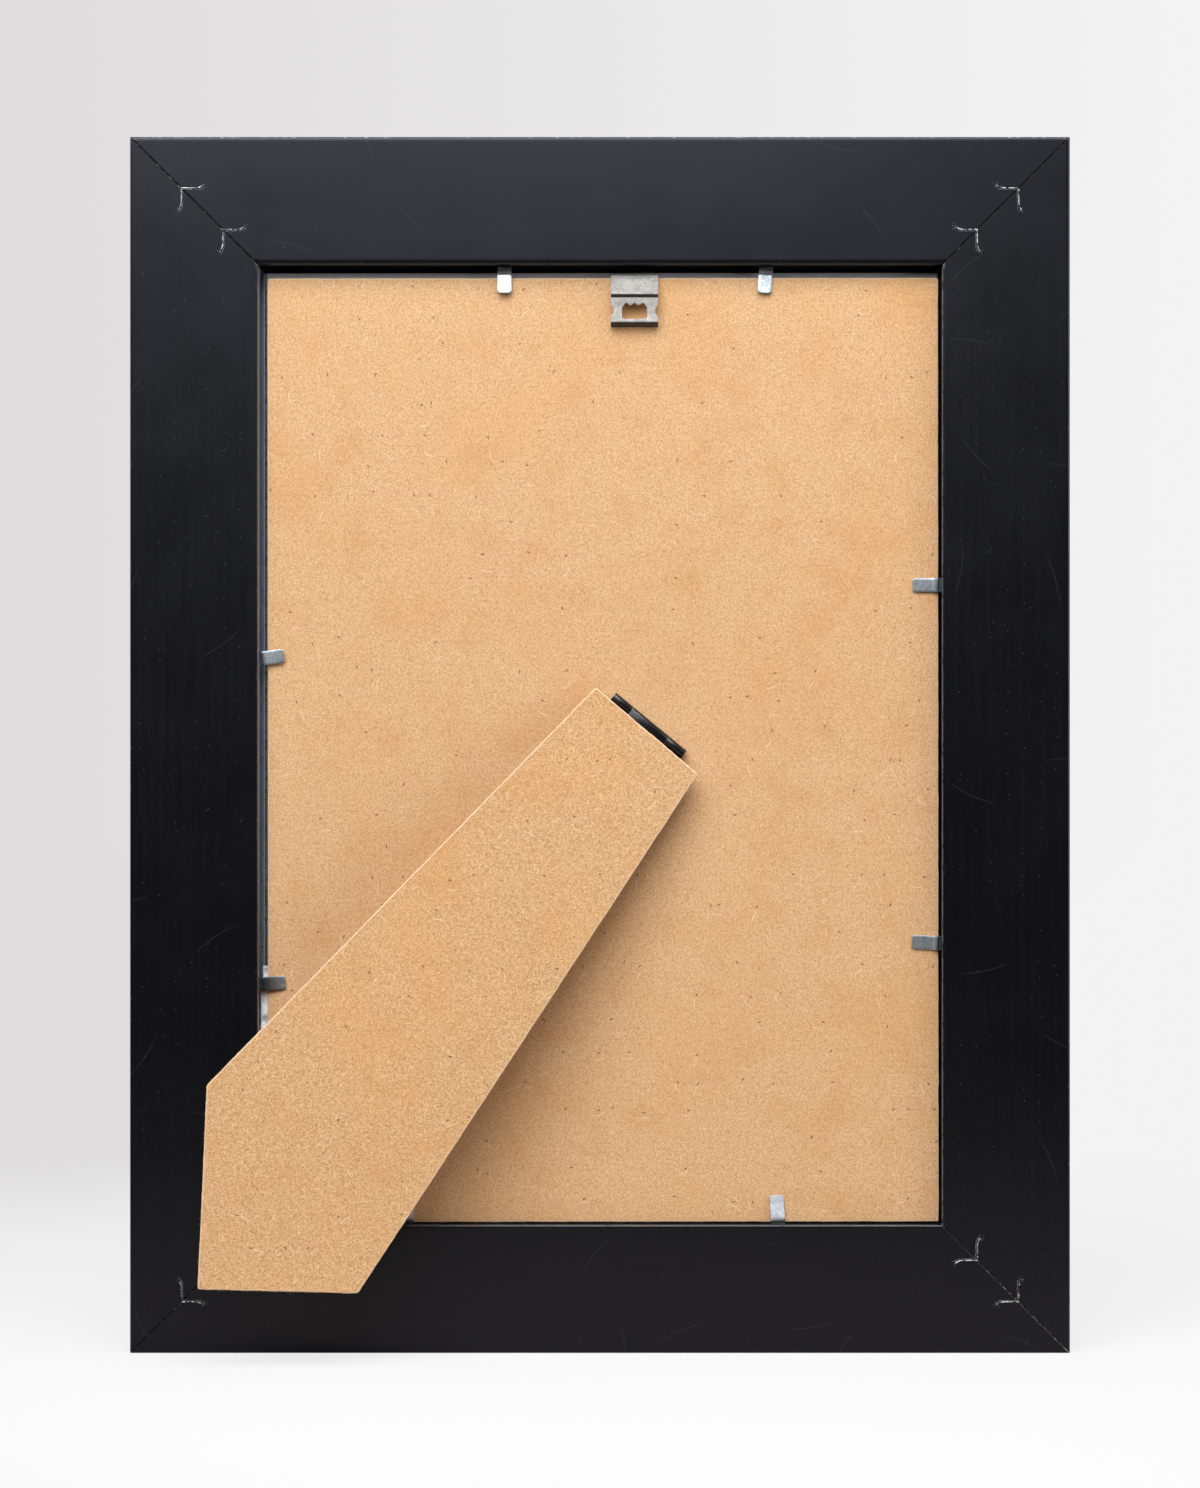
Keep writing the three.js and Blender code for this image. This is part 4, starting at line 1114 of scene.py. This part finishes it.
def fibre_tree():
    """Thin spikes along a line, with any lean."""
    tree, given, end = new_tree("edge_fibres", FIBRE)
    line = add(tree, "GeometryNodeMeshToCurve", {"Mesh": given["Geometry"]})
    dots = add(tree, "GeometryNodeResampleCurve", {"Curve": line, "Length": given["Spacing"]},
               mode="LENGTH")
    spike = add(tree, "GeometryNodeMeshCone",
                {"Vertices": FIBRE_SIDES, "Radius Bottom": given["Thickness"],
                 "Radius Top": given["Tip"], "Depth": given["Fibre"]})
    lean = add(tree, "FunctionNodeRandomValue",
               {"Min": (0.0, 0.0, 0.0), "Max": (math.tau, math.tau, math.tau), "Seed": 21},
               data_type="FLOAT_VECTOR")
    size = add(tree, "FunctionNodeRandomValue", {2: FIBRE_SHRINKS[0], 3: FIBRE_SHRINKS[1], "Seed": 22},
               data_type="FLOAT")
    rotation = add(tree, "FunctionNodeEulerToRotation", {0: lean})
    fibres = add(tree, "GeometryNodeInstanceOnPoints",
                 {"Points": dots, "Instance": spike, "Rotation": rotation, "Scale": size.outputs[1]})
    # The fibres take the darker copy of the board, which carries painted shade
    return finish_tree(tree, end, fibres, LEG_BOARD_PAINTED_SHADE)


def pressed(spot):
    """Whether a steel point lies over this spot of an edge."""
    return any(all(low[k] - PRESSED_REACH < spot[k] < high[k] + PRESSED_REACH for k in range(3))
               for low, high in BLADE_BOXES)


def arris_loop(name, made):
    """The back arris of a panel as a line of edges, open under the steel points."""
    normal, across, up = panel_axes(made["node"])
    corners, back, front = panel_corners(made["node"])
    inset = made["arris"] * MM * ARRIS_DEPTH
    points = []
    for spot, out in sawn_outline(corners, made["rough"] * MM, made["seed"]):
        flat = spot - out * inset
        points.append(across * flat.x + up * flat.y + normal * (back - inset))
    mesh = bpy.data.meshes.new(name)
    count = len(points)
    mesh.from_pydata(points, [(k, (k + 1) % count) for k in range(count) if not pressed(points[k])], [])
    return mesh


FIBRE_TREE = fibre_tree()
for name, made in PANELS.items():
    line = arris_loop(name + "_line", made)
    fibres = grow(name + "_fibres", line, FIBRE_TREE, {"Fibre": made["fibre"] * MM})
    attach(fibres, made["body"])
    print(fibres.name, "faces:", len(fibres.data.polygons))

# %% [markdown]
# ## Steel points
# Each point is a strip of zinc-plated sheet shot into the rebate wall, which bends down onto the
# board and can be bent up to let the back out. Its shape follows a rule: a flat strip that drops
# by a ramp, with its two front corners rounded. So one tree bends a finely divided block, and is
# grown once for each point with that point's length and ramp. The bend itself is a round joint,
# which shows no gap when the blade is bent up.

# %% Point tree
POINT = {"Length": 8 * MM, "Width": 4.4 * MM, "Gauge": 0.4 * MM, "Ramp": 2.0 * MM, "Shade_Reach": 3.0 * MM,
         "Drop": 0.95 * MM, "Tip": 1.0 * MM}
POINT_STEPS = (40, 7, 2)


def point_tree():
    """A strip along X that drops by a ramp, with a rounded tip and painted shade over its root."""
    tree, given, end = new_tree("steel_point", POINT)
    size = add(tree, "ShaderNodeCombineXYZ",
               {"X": given["Length"], "Y": given["Width"], "Z": given["Gauge"]})
    block = add(tree, "GeometryNodeMeshCube",
                {"Size": size, "Vertices X": POINT_STEPS[0], "Vertices Y": POINT_STEPS[1],
                 "Vertices Z": POINT_STEPS[2]})
    here = add(tree, "ShaderNodeSeparateXYZ", {0: add(tree, "GeometryNodeInputPosition")})
    along = add(tree, "ShaderNodeMath", {0: given["Length"], 1: 0.5, 2: here.outputs["X"]},
                operation="MULTIPLY_ADD")
    sunk = add(tree, "ShaderNodeMapRange", {"Value": along, "From Max": given["Ramp"]},
               interpolation_type="SMOOTHSTEP")
    drop = add(tree, "ShaderNodeMath", {0: sunk, 1: given["Drop"]}, operation="MULTIPLY")
    height = add(tree, "ShaderNodeMath", {0: here.outputs["Z"], 1: drop}, operation="SUBTRACT")
    left = add(tree, "ShaderNodeMath", {0: given["Length"], 1: along}, operation="SUBTRACT")
    short = add(tree, "ShaderNodeMath", {0: given["Tip"], 1: left}, operation="SUBTRACT")
    into = add(tree, "ShaderNodeMath", {0: short, 1: given["Tip"]}, operation="DIVIDE", use_clamp=True)
    squared = add(tree, "ShaderNodeMath", {0: into, 1: into}, operation="MULTIPLY")
    rest = add(tree, "ShaderNodeMath", {0: 1.0, 1: squared}, operation="SUBTRACT")
    root = add(tree, "ShaderNodeMath", {0: rest}, operation="SQRT")
    narrow = add(tree, "ShaderNodeMath", {0: 1.0, 1: root}, operation="SUBTRACT")
    trim = add(tree, "ShaderNodeMath", {0: narrow, 1: given["Tip"]}, operation="MULTIPLY")
    half = add(tree, "ShaderNodeMath", {0: given["Width"], 1: 0.5}, operation="MULTIPLY")
    share = add(tree, "ShaderNodeMath", {0: trim, 1: half}, operation="DIVIDE")
    keep = add(tree, "ShaderNodeMath", {0: 1.0, 1: share}, operation="SUBTRACT")
    across = add(tree, "ShaderNodeMath", {0: here.outputs["Y"], 1: keep}, operation="MULTIPLY")
    spot = add(tree, "ShaderNodeCombineXYZ", {"X": along, "Y": across, "Z": height})
    # Painted shade: the zinc darkens from the bend outwards, as the rail's shade lies over a real point's
    # root
    painted_root_shade = add(tree, "ShaderNodeMapRange",
                     {"Value": along, "From Max": given["Shade_Reach"], "To Min": 1.0, "To Max": 0.0},
                     interpolation_type="SMOOTHSTEP")
    marked = add(tree, "GeometryNodeStoreNamedAttribute",
                 {"Geometry": block, "Name": "painted_shade", "Value": painted_root_shade})
    shaped = add(tree, "GeometryNodeSetPosition", {"Geometry": marked, "Position": spot})
    return finish_tree(tree, end, shaped, ZINC)


POINT_TREE = point_tree()
print("tree:", POINT_TREE.name)

# %% Blades and shanks
# Sizes in mm where a blade isn't the usual one: some slope further, and the painted shade at each root has
# its own reach, which on one runs nearly to its tip
OWN_SIZES = {"bottom_right": {"Ramp": 7.5, "Shade_Reach": 1.6}, "bottom_left": {"Ramp": 5.5, "Shade_Reach": 1.6},
             "left_upper": {"Ramp": 4.5, "Shade_Reach": 1.8}, "left_lower": {"Ramp": 7.0, "Shade_Reach": 9.0},
             "right_upper": {"Shade_Reach": 1.2}, "right_lower": {"Shade_Reach": 1.2},
             "top_left": {"Shade_Reach": 2.0}, "top_right": {"Shade_Reach": 2.0}}
SHANK_OVERLAP = 0.3
POINT_BEVEL = 0.09 * MM
BLADE_SHARP = math.radians(35)
TO_BACK = Vector((0, -1, 0))


def point_matrix(joint, lift):
    """Where a blade lies: its bend at the origin, X along it, Z away from the board."""
    axis = Vector(joint["axis"]).normalized()
    reach = Matrix.Rotation(math.radians(lift), 3, axis) @ TO_BACK.cross(axis)
    away = axis.cross(reach)
    turn = Matrix((reach, -axis, away)).transposed().to_4x4()
    return Matrix.Translation(Vector(joint["pos_m"])) @ turn


def point_strip(name, sizes):
    """One strip from the point tree, with its bend at the origin."""
    return grow(name, bpy.data.meshes.new("seed"), POINT_TREE, sizes, POINT_BEVEL)


bends = {name.removeprefix("bend_"): joint for name, joint in joints.items() if name.startswith("bend_")}
shank_parts = bmesh.new()
for place, joint in bends.items():
    lift = -joint["range_deg"][0]
    matrix = point_matrix(joint, lift)
    inverse = matrix.inverted()
    length = max((inverse @ v.co).x for v in frame["nodes"]["point_blade_" + place].data.vertices)
    own = {title: size * MM for title, size in OWN_SIZES[place].items()}
    blade = point_strip("blade_" + place, {"Length": length, **own})
    # The lowest points take the duller zinc copy, painted pale as a highlight
    if place.startswith("bottom"):
        dress(blade, DULL_ZINC_PAINTED_HIGHLIGHT)
    blade.data.transform(matrix)
    blade.data.shade_smooth()
    blade.data.set_sharp_from_angle(angle=BLADE_SHARP)
    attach(blade, "point_" + place)
    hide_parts("point_blade_" + place)
    flat = point_matrix(joint, 0.0)
    inverse = flat.inverted()
    root = max(-(inverse @ v.co).x for v in frame["nodes"]["point_shank_" + place].data.vertices)
    shank = point_strip("shank_" + place, {"Length": root, "Drop": 0.0})
    into_rail = Matrix.Rotation(math.pi, 4, "Z") @ Matrix.Translation((-SHANK_OVERLAP * MM, 0, 0))
    shank.data.transform(flat @ into_rail)
    shank_parts.from_mesh(shank.data)
    bpy.data.objects.remove(shank)
    print(place, "length mm:", round(length / MM, 2), "lift:", lift)

shanks = piece("point_shanks", meshed(shank_parts, "point_shanks", ZINC))
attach(shanks, "frame")
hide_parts(*["point_shank_" + place for place in bends])
print("point_shanks faces:", len(shanks.data.polygons))

# %% [markdown]
# ## Cutting and joining
# The hanger's slot and the hinge's knuckles are easiest as a workshop would make them: a plain
# piece, with shapes cut out of it or joined to it. A Boolean modifier does both, and a small bevel
# after it breaks the sheared edges, which is where sheet metal catches the light.

# %% Prisms and Booleans
WORKED_SOFT = 35
WORKED_SHARP = math.radians(32)
CIRCLE_STEPS = 24

# A bend takes less than half of each run beside it
RUN_PARTS = 2.1


def circle(centre, radius):
    """Points round a whole circle."""
    return arc(centre, radius, 0, 360 - 360 / CIRCLE_STEPS, CIRCLE_STEPS - 1)


def prism(name, outline, low, high):
    """An outline of (a, b) points, made solid between two heights: (a, b, height), in mm."""
    bm = bmesh.new()
    bottom = [bm.verts.new(Vector((a, b, low)) * MM) for a, b in outline]
    top = [bm.verts.new(Vector((a, b, high)) * MM) for a, b in outline]
    bm.faces.new(bottom)
    bm.faces.new(top)
    skin(bm, [bottom, top])
    bmesh.ops.recalc_face_normals(bm, faces=bm.faces[:])
    return meshed(bm, name)


def worked(name, blank, steps, bevel, material):
    """A blank mesh with others cut from it or joined to it in turn, its edges broken by a bevel in mm."""
    holder = piece(name + "_blank", blank)
    tools = []
    for operation, mesh in steps:
        tools.append(piece(name + "_tool", mesh))
        step = holder.modifiers.new("step", "BOOLEAN")
        step.operation = operation
        step.solver = "EXACT"
        step.object = tools[-1]
    soften(holder, bevel * MM, WORKED_SOFT)
    made = settle(holder, name)
    for tool in tools:
        bpy.data.objects.remove(tool)
    dress(made, material)
    made.data.shade_smooth()
    made.data.set_sharp_from_angle(angle=WORKED_SHARP)
    return made


def sheet_edge(path, gauge, radius):
    """The edge view of a folded sheet: a path of (a, b) points with rounded bends, given a thickness."""
    points = [Vector(p) for p in path]
    line = [points[0]]
    for before, here, after in zip(points, points[1:], points[2:]):
        come = (here - before).normalized()
        go = (after - here).normalized()
        turn = abs(come.angle_signed(go))
        room = min((here - before).length, (after - here).length) / RUN_PARTS
        reach = min(radius * math.tan(turn / 2), room)
        first, last = here - come * reach, here + go * reach
        for k in range(ROUND_STEPS + 1):
            t = k / ROUND_STEPS
            line.append(first * (1 - t) ** 2 + here * 2 * t * (1 - t) + last * t ** 2)
    line.append(points[-1])
    left, right = [], []
    for k, here in enumerate(line):
        run = (line[min(k + 1, len(line) - 1)] - line[max(k - 1, 0)]).normalized()
        side = Vector((-run.y, run.x)) * gauge / 2
        left.append(here + side)
        right.append(here - side)
    return [tuple(p) for p in left + right[::-1]]


print("points round a circle:", len(circle((0, 0), 1)))

# %% [markdown]
# ## The toothed hanger
# One strip of sheet hooks over the board's top edge, slopes away from it, steps back a little,
# holds the toothed slot for a nail, and turns in to the board again. In edge view it is a folded
# path, so that path with rounded bends is the blank. The slot, with its three notches, and the two
# side notches are then cut. On the faces towards the back an attribute carries painted shade: the
# more a face turns down, the darker it is, and the faces of the slope that turn up take a fixed share.

# %% Hanger sizes and outlines
HANGER_GAUGE = 0.6
HANGER_WIDTH = 14.7
BOARD_THICKNESS = 3.0
SEAT_GAP = 0.3
RAMP_DROP = 5.35
RAMP_HEIGHT = 3.6
STEP_DROP = 1.0
PLATE_HEIGHT = 2.7
CLIP_LENGTH = 6.0
FLANGE_DROP = 1.2
SLOT_WIDTH = 7.8
SLOT_HEIGHT = 5.0
SLOT_SHOULDER = 1.4
SLOT_CORNER = 0.75
WEB_ABOVE = 1.8
WEB_BELOW = 0.9
TOOTH_PITCH = 2.55
TOOTH_DEPTH = 0.8
TOOTH_ROUND = 0.6
NOTCH_RADIUS = 2.25
NOTCH_DEPTH = 0.9
NOTCH_ARC = (150, 30)
ARC_STEPS = 4
HANGER_BEND = 0.36

STEP_END = -RAMP_DROP - STEP_DROP
SLOT_TOP = STEP_END - WEB_ABOVE
PLATE_END = SLOT_TOP - SLOT_HEIGHT - WEB_BELOW


def hanger_edge():
    """Edge view of the hanger as (depth, height) from the board's back and top edge, in mm."""
    clip = BOARD_THICKNESS - HANGER_GAUGE / 2
    over = SEAT_GAP + HANGER_GAUGE / 2
    path = [(clip, -CLIP_LENGTH), (clip, over), (-over, over), (-RAMP_HEIGHT, -RAMP_DROP),
            (-PLATE_HEIGHT, STEP_END), (-PLATE_HEIGHT, PLATE_END), (-over, PLATE_END - FLANGE_DROP)]
    return sheet_edge(path, HANGER_GAUGE, HANGER_BEND)


def slot_outline():
    """The nail slot: three notches between teeth along its top, and clipped lower corners."""
    half = SLOT_WIDTH / 2
    bottom = SLOT_TOP - SLOT_HEIGHT
    crest = []
    for notch in (-1, 0, 1):
        crest += arc((notch * TOOTH_PITCH, SLOT_TOP - TOOTH_ROUND), TOOTH_ROUND, *NOTCH_ARC, ARC_STEPS)
        if notch < 1:
            crest.append(((notch + 0.5) * TOOTH_PITCH, SLOT_TOP - TOOTH_DEPTH))
    return ([(-half, SLOT_TOP - SLOT_SHOULDER)] + crest + [(half, SLOT_TOP - SLOT_SHOULDER)]
            + arc((half - SLOT_CORNER, bottom + SLOT_CORNER), SLOT_CORNER, 0, -90, ARC_STEPS)
            + arc((SLOT_CORNER - half, bottom + SLOT_CORNER), SLOT_CORNER, -90, -180, ARC_STEPS))


def hanger_cutters():
    """The slot and the two side notches, as prisms through the plate."""
    deep = RAMP_HEIGHT + 2 * HANGER_GAUGE
    reach = HANGER_WIDTH / 2 + NOTCH_RADIUS - NOTCH_DEPTH
    middle = SLOT_TOP - SLOT_HEIGHT / 2
    outlines = [slot_outline()] + [circle((x, middle), NOTCH_RADIUS) for x in (-reach, reach)]
    return [("DIFFERENCE", prism("cutter", outline, -deep, deep)) for outline in outlines]


print("points round the slot:", len(slot_outline()))

# %% Hanger
HANGER_BEVEL = 0.06
DOWNWARD_PAINTED_SHADE = (0.25, 0.55)
RAMP_FACES = 0.25
RAMP_PAINTED_SHADE = 0.45

# The blank is drawn as (depth, height) and made solid across; the cutters as (across, height)
FROM_EDGE_VIEW = Matrix(((0, 0, 1, 0), (1, 0, 0, 0), (0, 1, 0, 0), (0, 0, 0, 1)))
FROM_FACE_VIEW = Matrix(((1, 0, 0, 0), (0, 0, -1, 0), (0, 1, 0, 0), (0, 0, 0, 1)))
strip = prism("hanger_blank", hanger_edge(), -HANGER_WIDTH / 2, HANGER_WIDTH / 2)
strip.transform(FROM_EDGE_VIEW)
steps = hanger_cutters()
for operation, mesh in steps:
    mesh.transform(FROM_FACE_VIEW)
hanger = worked("toothed_hanger", strip, steps, HANGER_BEVEL, PATINA)
# Painted shade by facing: darker as a face turns down, a fixed share on the faces that turn up, only on faces
# towards the back
painted_shade = hanger.data.attributes.new("painted_shade", "FLOAT", "FACE")
from_slope, to_slope = DOWNWARD_PAINTED_SHADE
for face in hanger.data.polygons:
    shade = min(1.0, max(0.0, (-face.normal.z - from_slope) / (to_slope - from_slope)))
    if face.normal.z > RAMP_FACES:
        shade = RAMP_PAINTED_SHADE
    painted_shade.data[face.index].value = shade if face.normal.y < 0 else 0.0
normal, across, up = panel_axes("backing_board")
tilt = Matrix((across, -normal, up)).transposed().to_4x4()
low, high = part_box("hanger")
board_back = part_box("backing_board")[0].y
hanger_place = Vector(((low.x + high.x) / 2, board_back, high.z - SEAT_GAP * MM - HANGER_GAUGE * MM))
hanger.data.transform(Matrix.Translation(hanger_place) @ tilt)
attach(hanger, "frame")
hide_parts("hanger")
print("hanger faces:", len(hanger.data.polygons))

# %% [markdown]
# ## The leg's hinge
# Two leaves of black sheet are rolled round one pin: the board's leaf has the two outer knuckles
# and the leg's leaf the middle one. Only the rolled barrel shows above the leg. A knuckle is the
# leaf's own sheet carried round the pin, so its section is a ring that opens into the leaf.

# %% Hinge leaves
KNUCKLE_RADIUS = 1.6
LEAF_GAUGE = 0.8
LEAF_LENGTH = 22.0
LEAF_CLEAR = 1.9
HINGE_WIDTH = 28.5
ROLL_DEGREES = 335
ROLL_STEPS = 36
LEAF_BEVEL = 0.05


def rolled_section(facing):
    """A leaf's sheet rolled round the pin, as (along, through). Facing is 1 for the board's leaf."""
    start = 90 * facing
    outer = arc((0, 0), KNUCKLE_RADIUS, start, start + facing * ROLL_DEGREES, ROLL_STEPS)
    inner = arc((0, 0), KNUCKLE_RADIUS - LEAF_GAUGE, start + facing * ROLL_DEGREES, start, ROLL_STEPS)
    tail = LEAF_CLEAR + LEAF_GAUGE
    faces = (facing * KNUCKLE_RADIUS, facing * (KNUCKLE_RADIUS - LEAF_GAUGE))
    return [(tail, faces[0])] + outer + inner + [(tail, faces[1])]


def leaf_mesh(name, facing, knuckles):
    """A leaf with its knuckles, given as (length, middle) along the pin."""
    faces = (facing * KNUCKLE_RADIUS, facing * (KNUCKLE_RADIUS - LEAF_GAUGE))
    plate = [(LEAF_CLEAR, faces[0]), (LEAF_LENGTH, faces[0]),
             (LEAF_LENGTH, faces[1]), (LEAF_CLEAR, faces[1])]
    blank = prism(name, plate, -HINGE_WIDTH / 2, HINGE_WIDTH / 2)
    steps = [("UNION", prism("knuckle", rolled_section(facing), middle - length / 2, middle + length / 2))
             for length, middle in knuckles]
    return worked(name, blank, steps, LEAF_BEVEL, LACQUER)


print("points round a knuckle:", len(rolled_section(1)))

# %% Hinge
MIDDLE_KNUCKLE = 14.2
KNUCKLE_GAP = 0.08
PIN_RADIUS = 0.75
PIN_BEVEL = 0.2
OUTER_KNUCKLE = (HINGE_WIDTH - MIDDLE_KNUCKLE) / 2 - KNUCKLE_GAP
OUTER_MIDDLE = (HINGE_WIDTH - OUTER_KNUCKLE) / 2


def hinge_matrix(swing):
    """The hinge's frame: X along the leg, Y to the front, Z along the pin, opened by swing degrees."""
    joint = joints["leg_hinge"]
    low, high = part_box("hinge_pin")
    pin = Vector((high.x - low.x, 0, low.z - high.z)).normalized()
    front = Vector((0, 1, 0))
    turn = Matrix((front.cross(pin), front, pin)).transposed().to_4x4()
    return Matrix.Translation(Vector(joint["pos_m"])) @ turn @ Matrix.Rotation(math.radians(-swing), 4, "Z")


LEG_OPEN = math.degrees(panel_axes("leg")[0].angle(TO_BACK))

# Each leaf: the side it faces, its knuckles, its swing in degrees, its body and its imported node
LEAVES = {
    "hinge_leaf_of_board": (1, [(OUTER_KNUCKLE, -OUTER_MIDDLE), (OUTER_KNUCKLE, OUTER_MIDDLE)], 0.0,
                            "frame", "hinge_leaf_board"),
    "hinge_leaf_of_leg": (-1, [(MIDDLE_KNUCKLE, 0.0)], LEG_OPEN, "strut_leg", "hinge_leaf_leg"),
}
for name, (facing, knuckles, swing, body, node) in LEAVES.items():
    leaf = leaf_mesh(name, facing, knuckles)
    leaf.data.transform(hinge_matrix(swing))
    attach(leaf, body)
    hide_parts(node)
    print(name, "faces:", len(leaf.data.polygons))

rod = prism("pin", circle((0, 0), PIN_RADIUS), -HINGE_WIDTH / 2, HINGE_WIDTH / 2)
hinge_pin = worked("rolled_hinge_pin", rod, [], PIN_BEVEL, LACQUER)
hinge_pin.data.transform(hinge_matrix(0.0))
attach(hinge_pin, "frame")
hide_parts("hinge_pin")
print("leg open at rest, degrees:", round(LEG_OPEN, 2))

# %% [markdown]
# ## Paper strip in the gap
# A scrap of paper is folded and pushed between the board's left edge and the moulding to stop the
# back rattling. It is crumpled, so a strip with straight folds would look like card. A grid is
# folded over the gap, shaken by noise along its length, and given the paper's thickness.

# %% Paper strip
SHIM_STATIONS = 44
SHIM_FOLDS = 9
SHIM_SHEET = 0.16
SHIM_CRUMPLE = 0.3
SHIM_PRESSED = 0.4
SHIM_TORN = 0.7
SHIM_INSET = 0.3
SHIM_SQUARE = 2.4
SHIM_WAVE = 1.9
SHIM_SHAKEN = 0.7
SAG_WAVE = 5
SAG_DEPTH = 1.6
SAG_ROW = 7
SHIM_SEED = 4


def shim_mesh():
    """The folded strip as a single sheet, torn narrower above the lower left point."""
    low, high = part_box("paper_shim")
    inset = SHIM_CRUMPLE * MM
    torn_from = bends["left_lower"]["pos_m"][2]
    right = high.x + SHIM_PRESSED * MM
    bm = bmesh.new()
    rows = []
    for i in range(SHIM_STATIONS + 1):
        z = low.z + (high.z - low.z) * i / SHIM_STATIONS
        left = low.x + (SHIM_TORN * MM if z > torn_from else 0.0)
        dip = max(0.0, noise.noise(Vector((0, SAG_ROW, z / (SAG_WAVE * MM))))) * SAG_DEPTH * MM
        row = []
        for k in range(SHIM_FOLDS + 1):
            turn = math.pi * k / SHIM_FOLDS
            x = (left + right) / 2 - math.cos(turn) * ((right - left) / 2 - SHIM_INSET * inset)
            y = high.y - (high.y - low.y - inset) * min(1.0, SHIM_SQUARE * math.sin(turn))
            shake = noise.noise_vector(Vector((x, y, z)) / (SHIM_WAVE * MM)) * SHIM_CRUMPLE * MM
            row.append(bm.verts.new(Vector((x, y + dip * math.sin(turn), z)) + shake * SHIM_SHAKEN))
        rows.append(row)
    skin(bm, rows, closed=False)
    bmesh.ops.recalc_face_normals(bm, faces=bm.faces[:])
    return meshed(bm, "paper_strip")


# Without a seed, the noise of a vector starts from the clock and every run crumples differently
noise.seed_set(SHIM_SEED)
holder = piece("paper_strip_blank", shim_mesh())
thicken = holder.modifiers.new("thicken", "SOLIDIFY")
thicken.thickness = SHIM_SHEET * MM
thicken.offset = 0.0
shim = settle(holder, "paper_strip")
dress(shim, PAPER)
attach(shim, "frame")
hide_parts("paper_shim")
print("paper strip faces:", len(shim.data.polygons))

# %% [markdown]
# ## Sheet and pane
# The blank sheet is flat and plain on the real frame too, so the imported piece stays as it is and
# only takes its finishes: white paper to the front, and to the back and edges a grey copy of it as
# painted shade. The pane is a plain block as well, but cut glass has its sharp arrises taken off
# with a stone, and that narrow matt seam shows as a pale line in the gap beside the board. A bevel
# makes the seam, and its slanting faces take the ground finish.

# %% Sheet and pane
SEAM = 0.3
FLAT = 0.99

sheet = frame["nodes"]["insert_sheet"].data
sheet.materials.clear()
# Painted shade: the back and edges take the grey copy of the paper, the front the white
sheet.materials.append(PAPER_BACK_PAINTED_SHADE)
sheet.materials.append(PAPER)
for face in sheet.polygons:
    face.material_index = 1 if face.normal.y > FLAT else 0

low, high = (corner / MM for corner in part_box("glass_pane"))
outline = [(low.x, low.y), (high.x, low.y), (high.x, high.y), (low.x, high.y)]
block = prism("pane_blank", outline, low.z, high.z)
pane = worked("seamed_pane", block, [], SEAM, GLASS)
pane.data.materials.append(GROUND_GLASS)
for face in pane.data.polygons:
    face.material_index = 0 if max(abs(part) for part in face.normal) > FLAT else 1
pane.data.shade_flat()
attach(pane, "frame")
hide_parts("glass_pane")
print("pane faces:", len(pane.data.polygons))
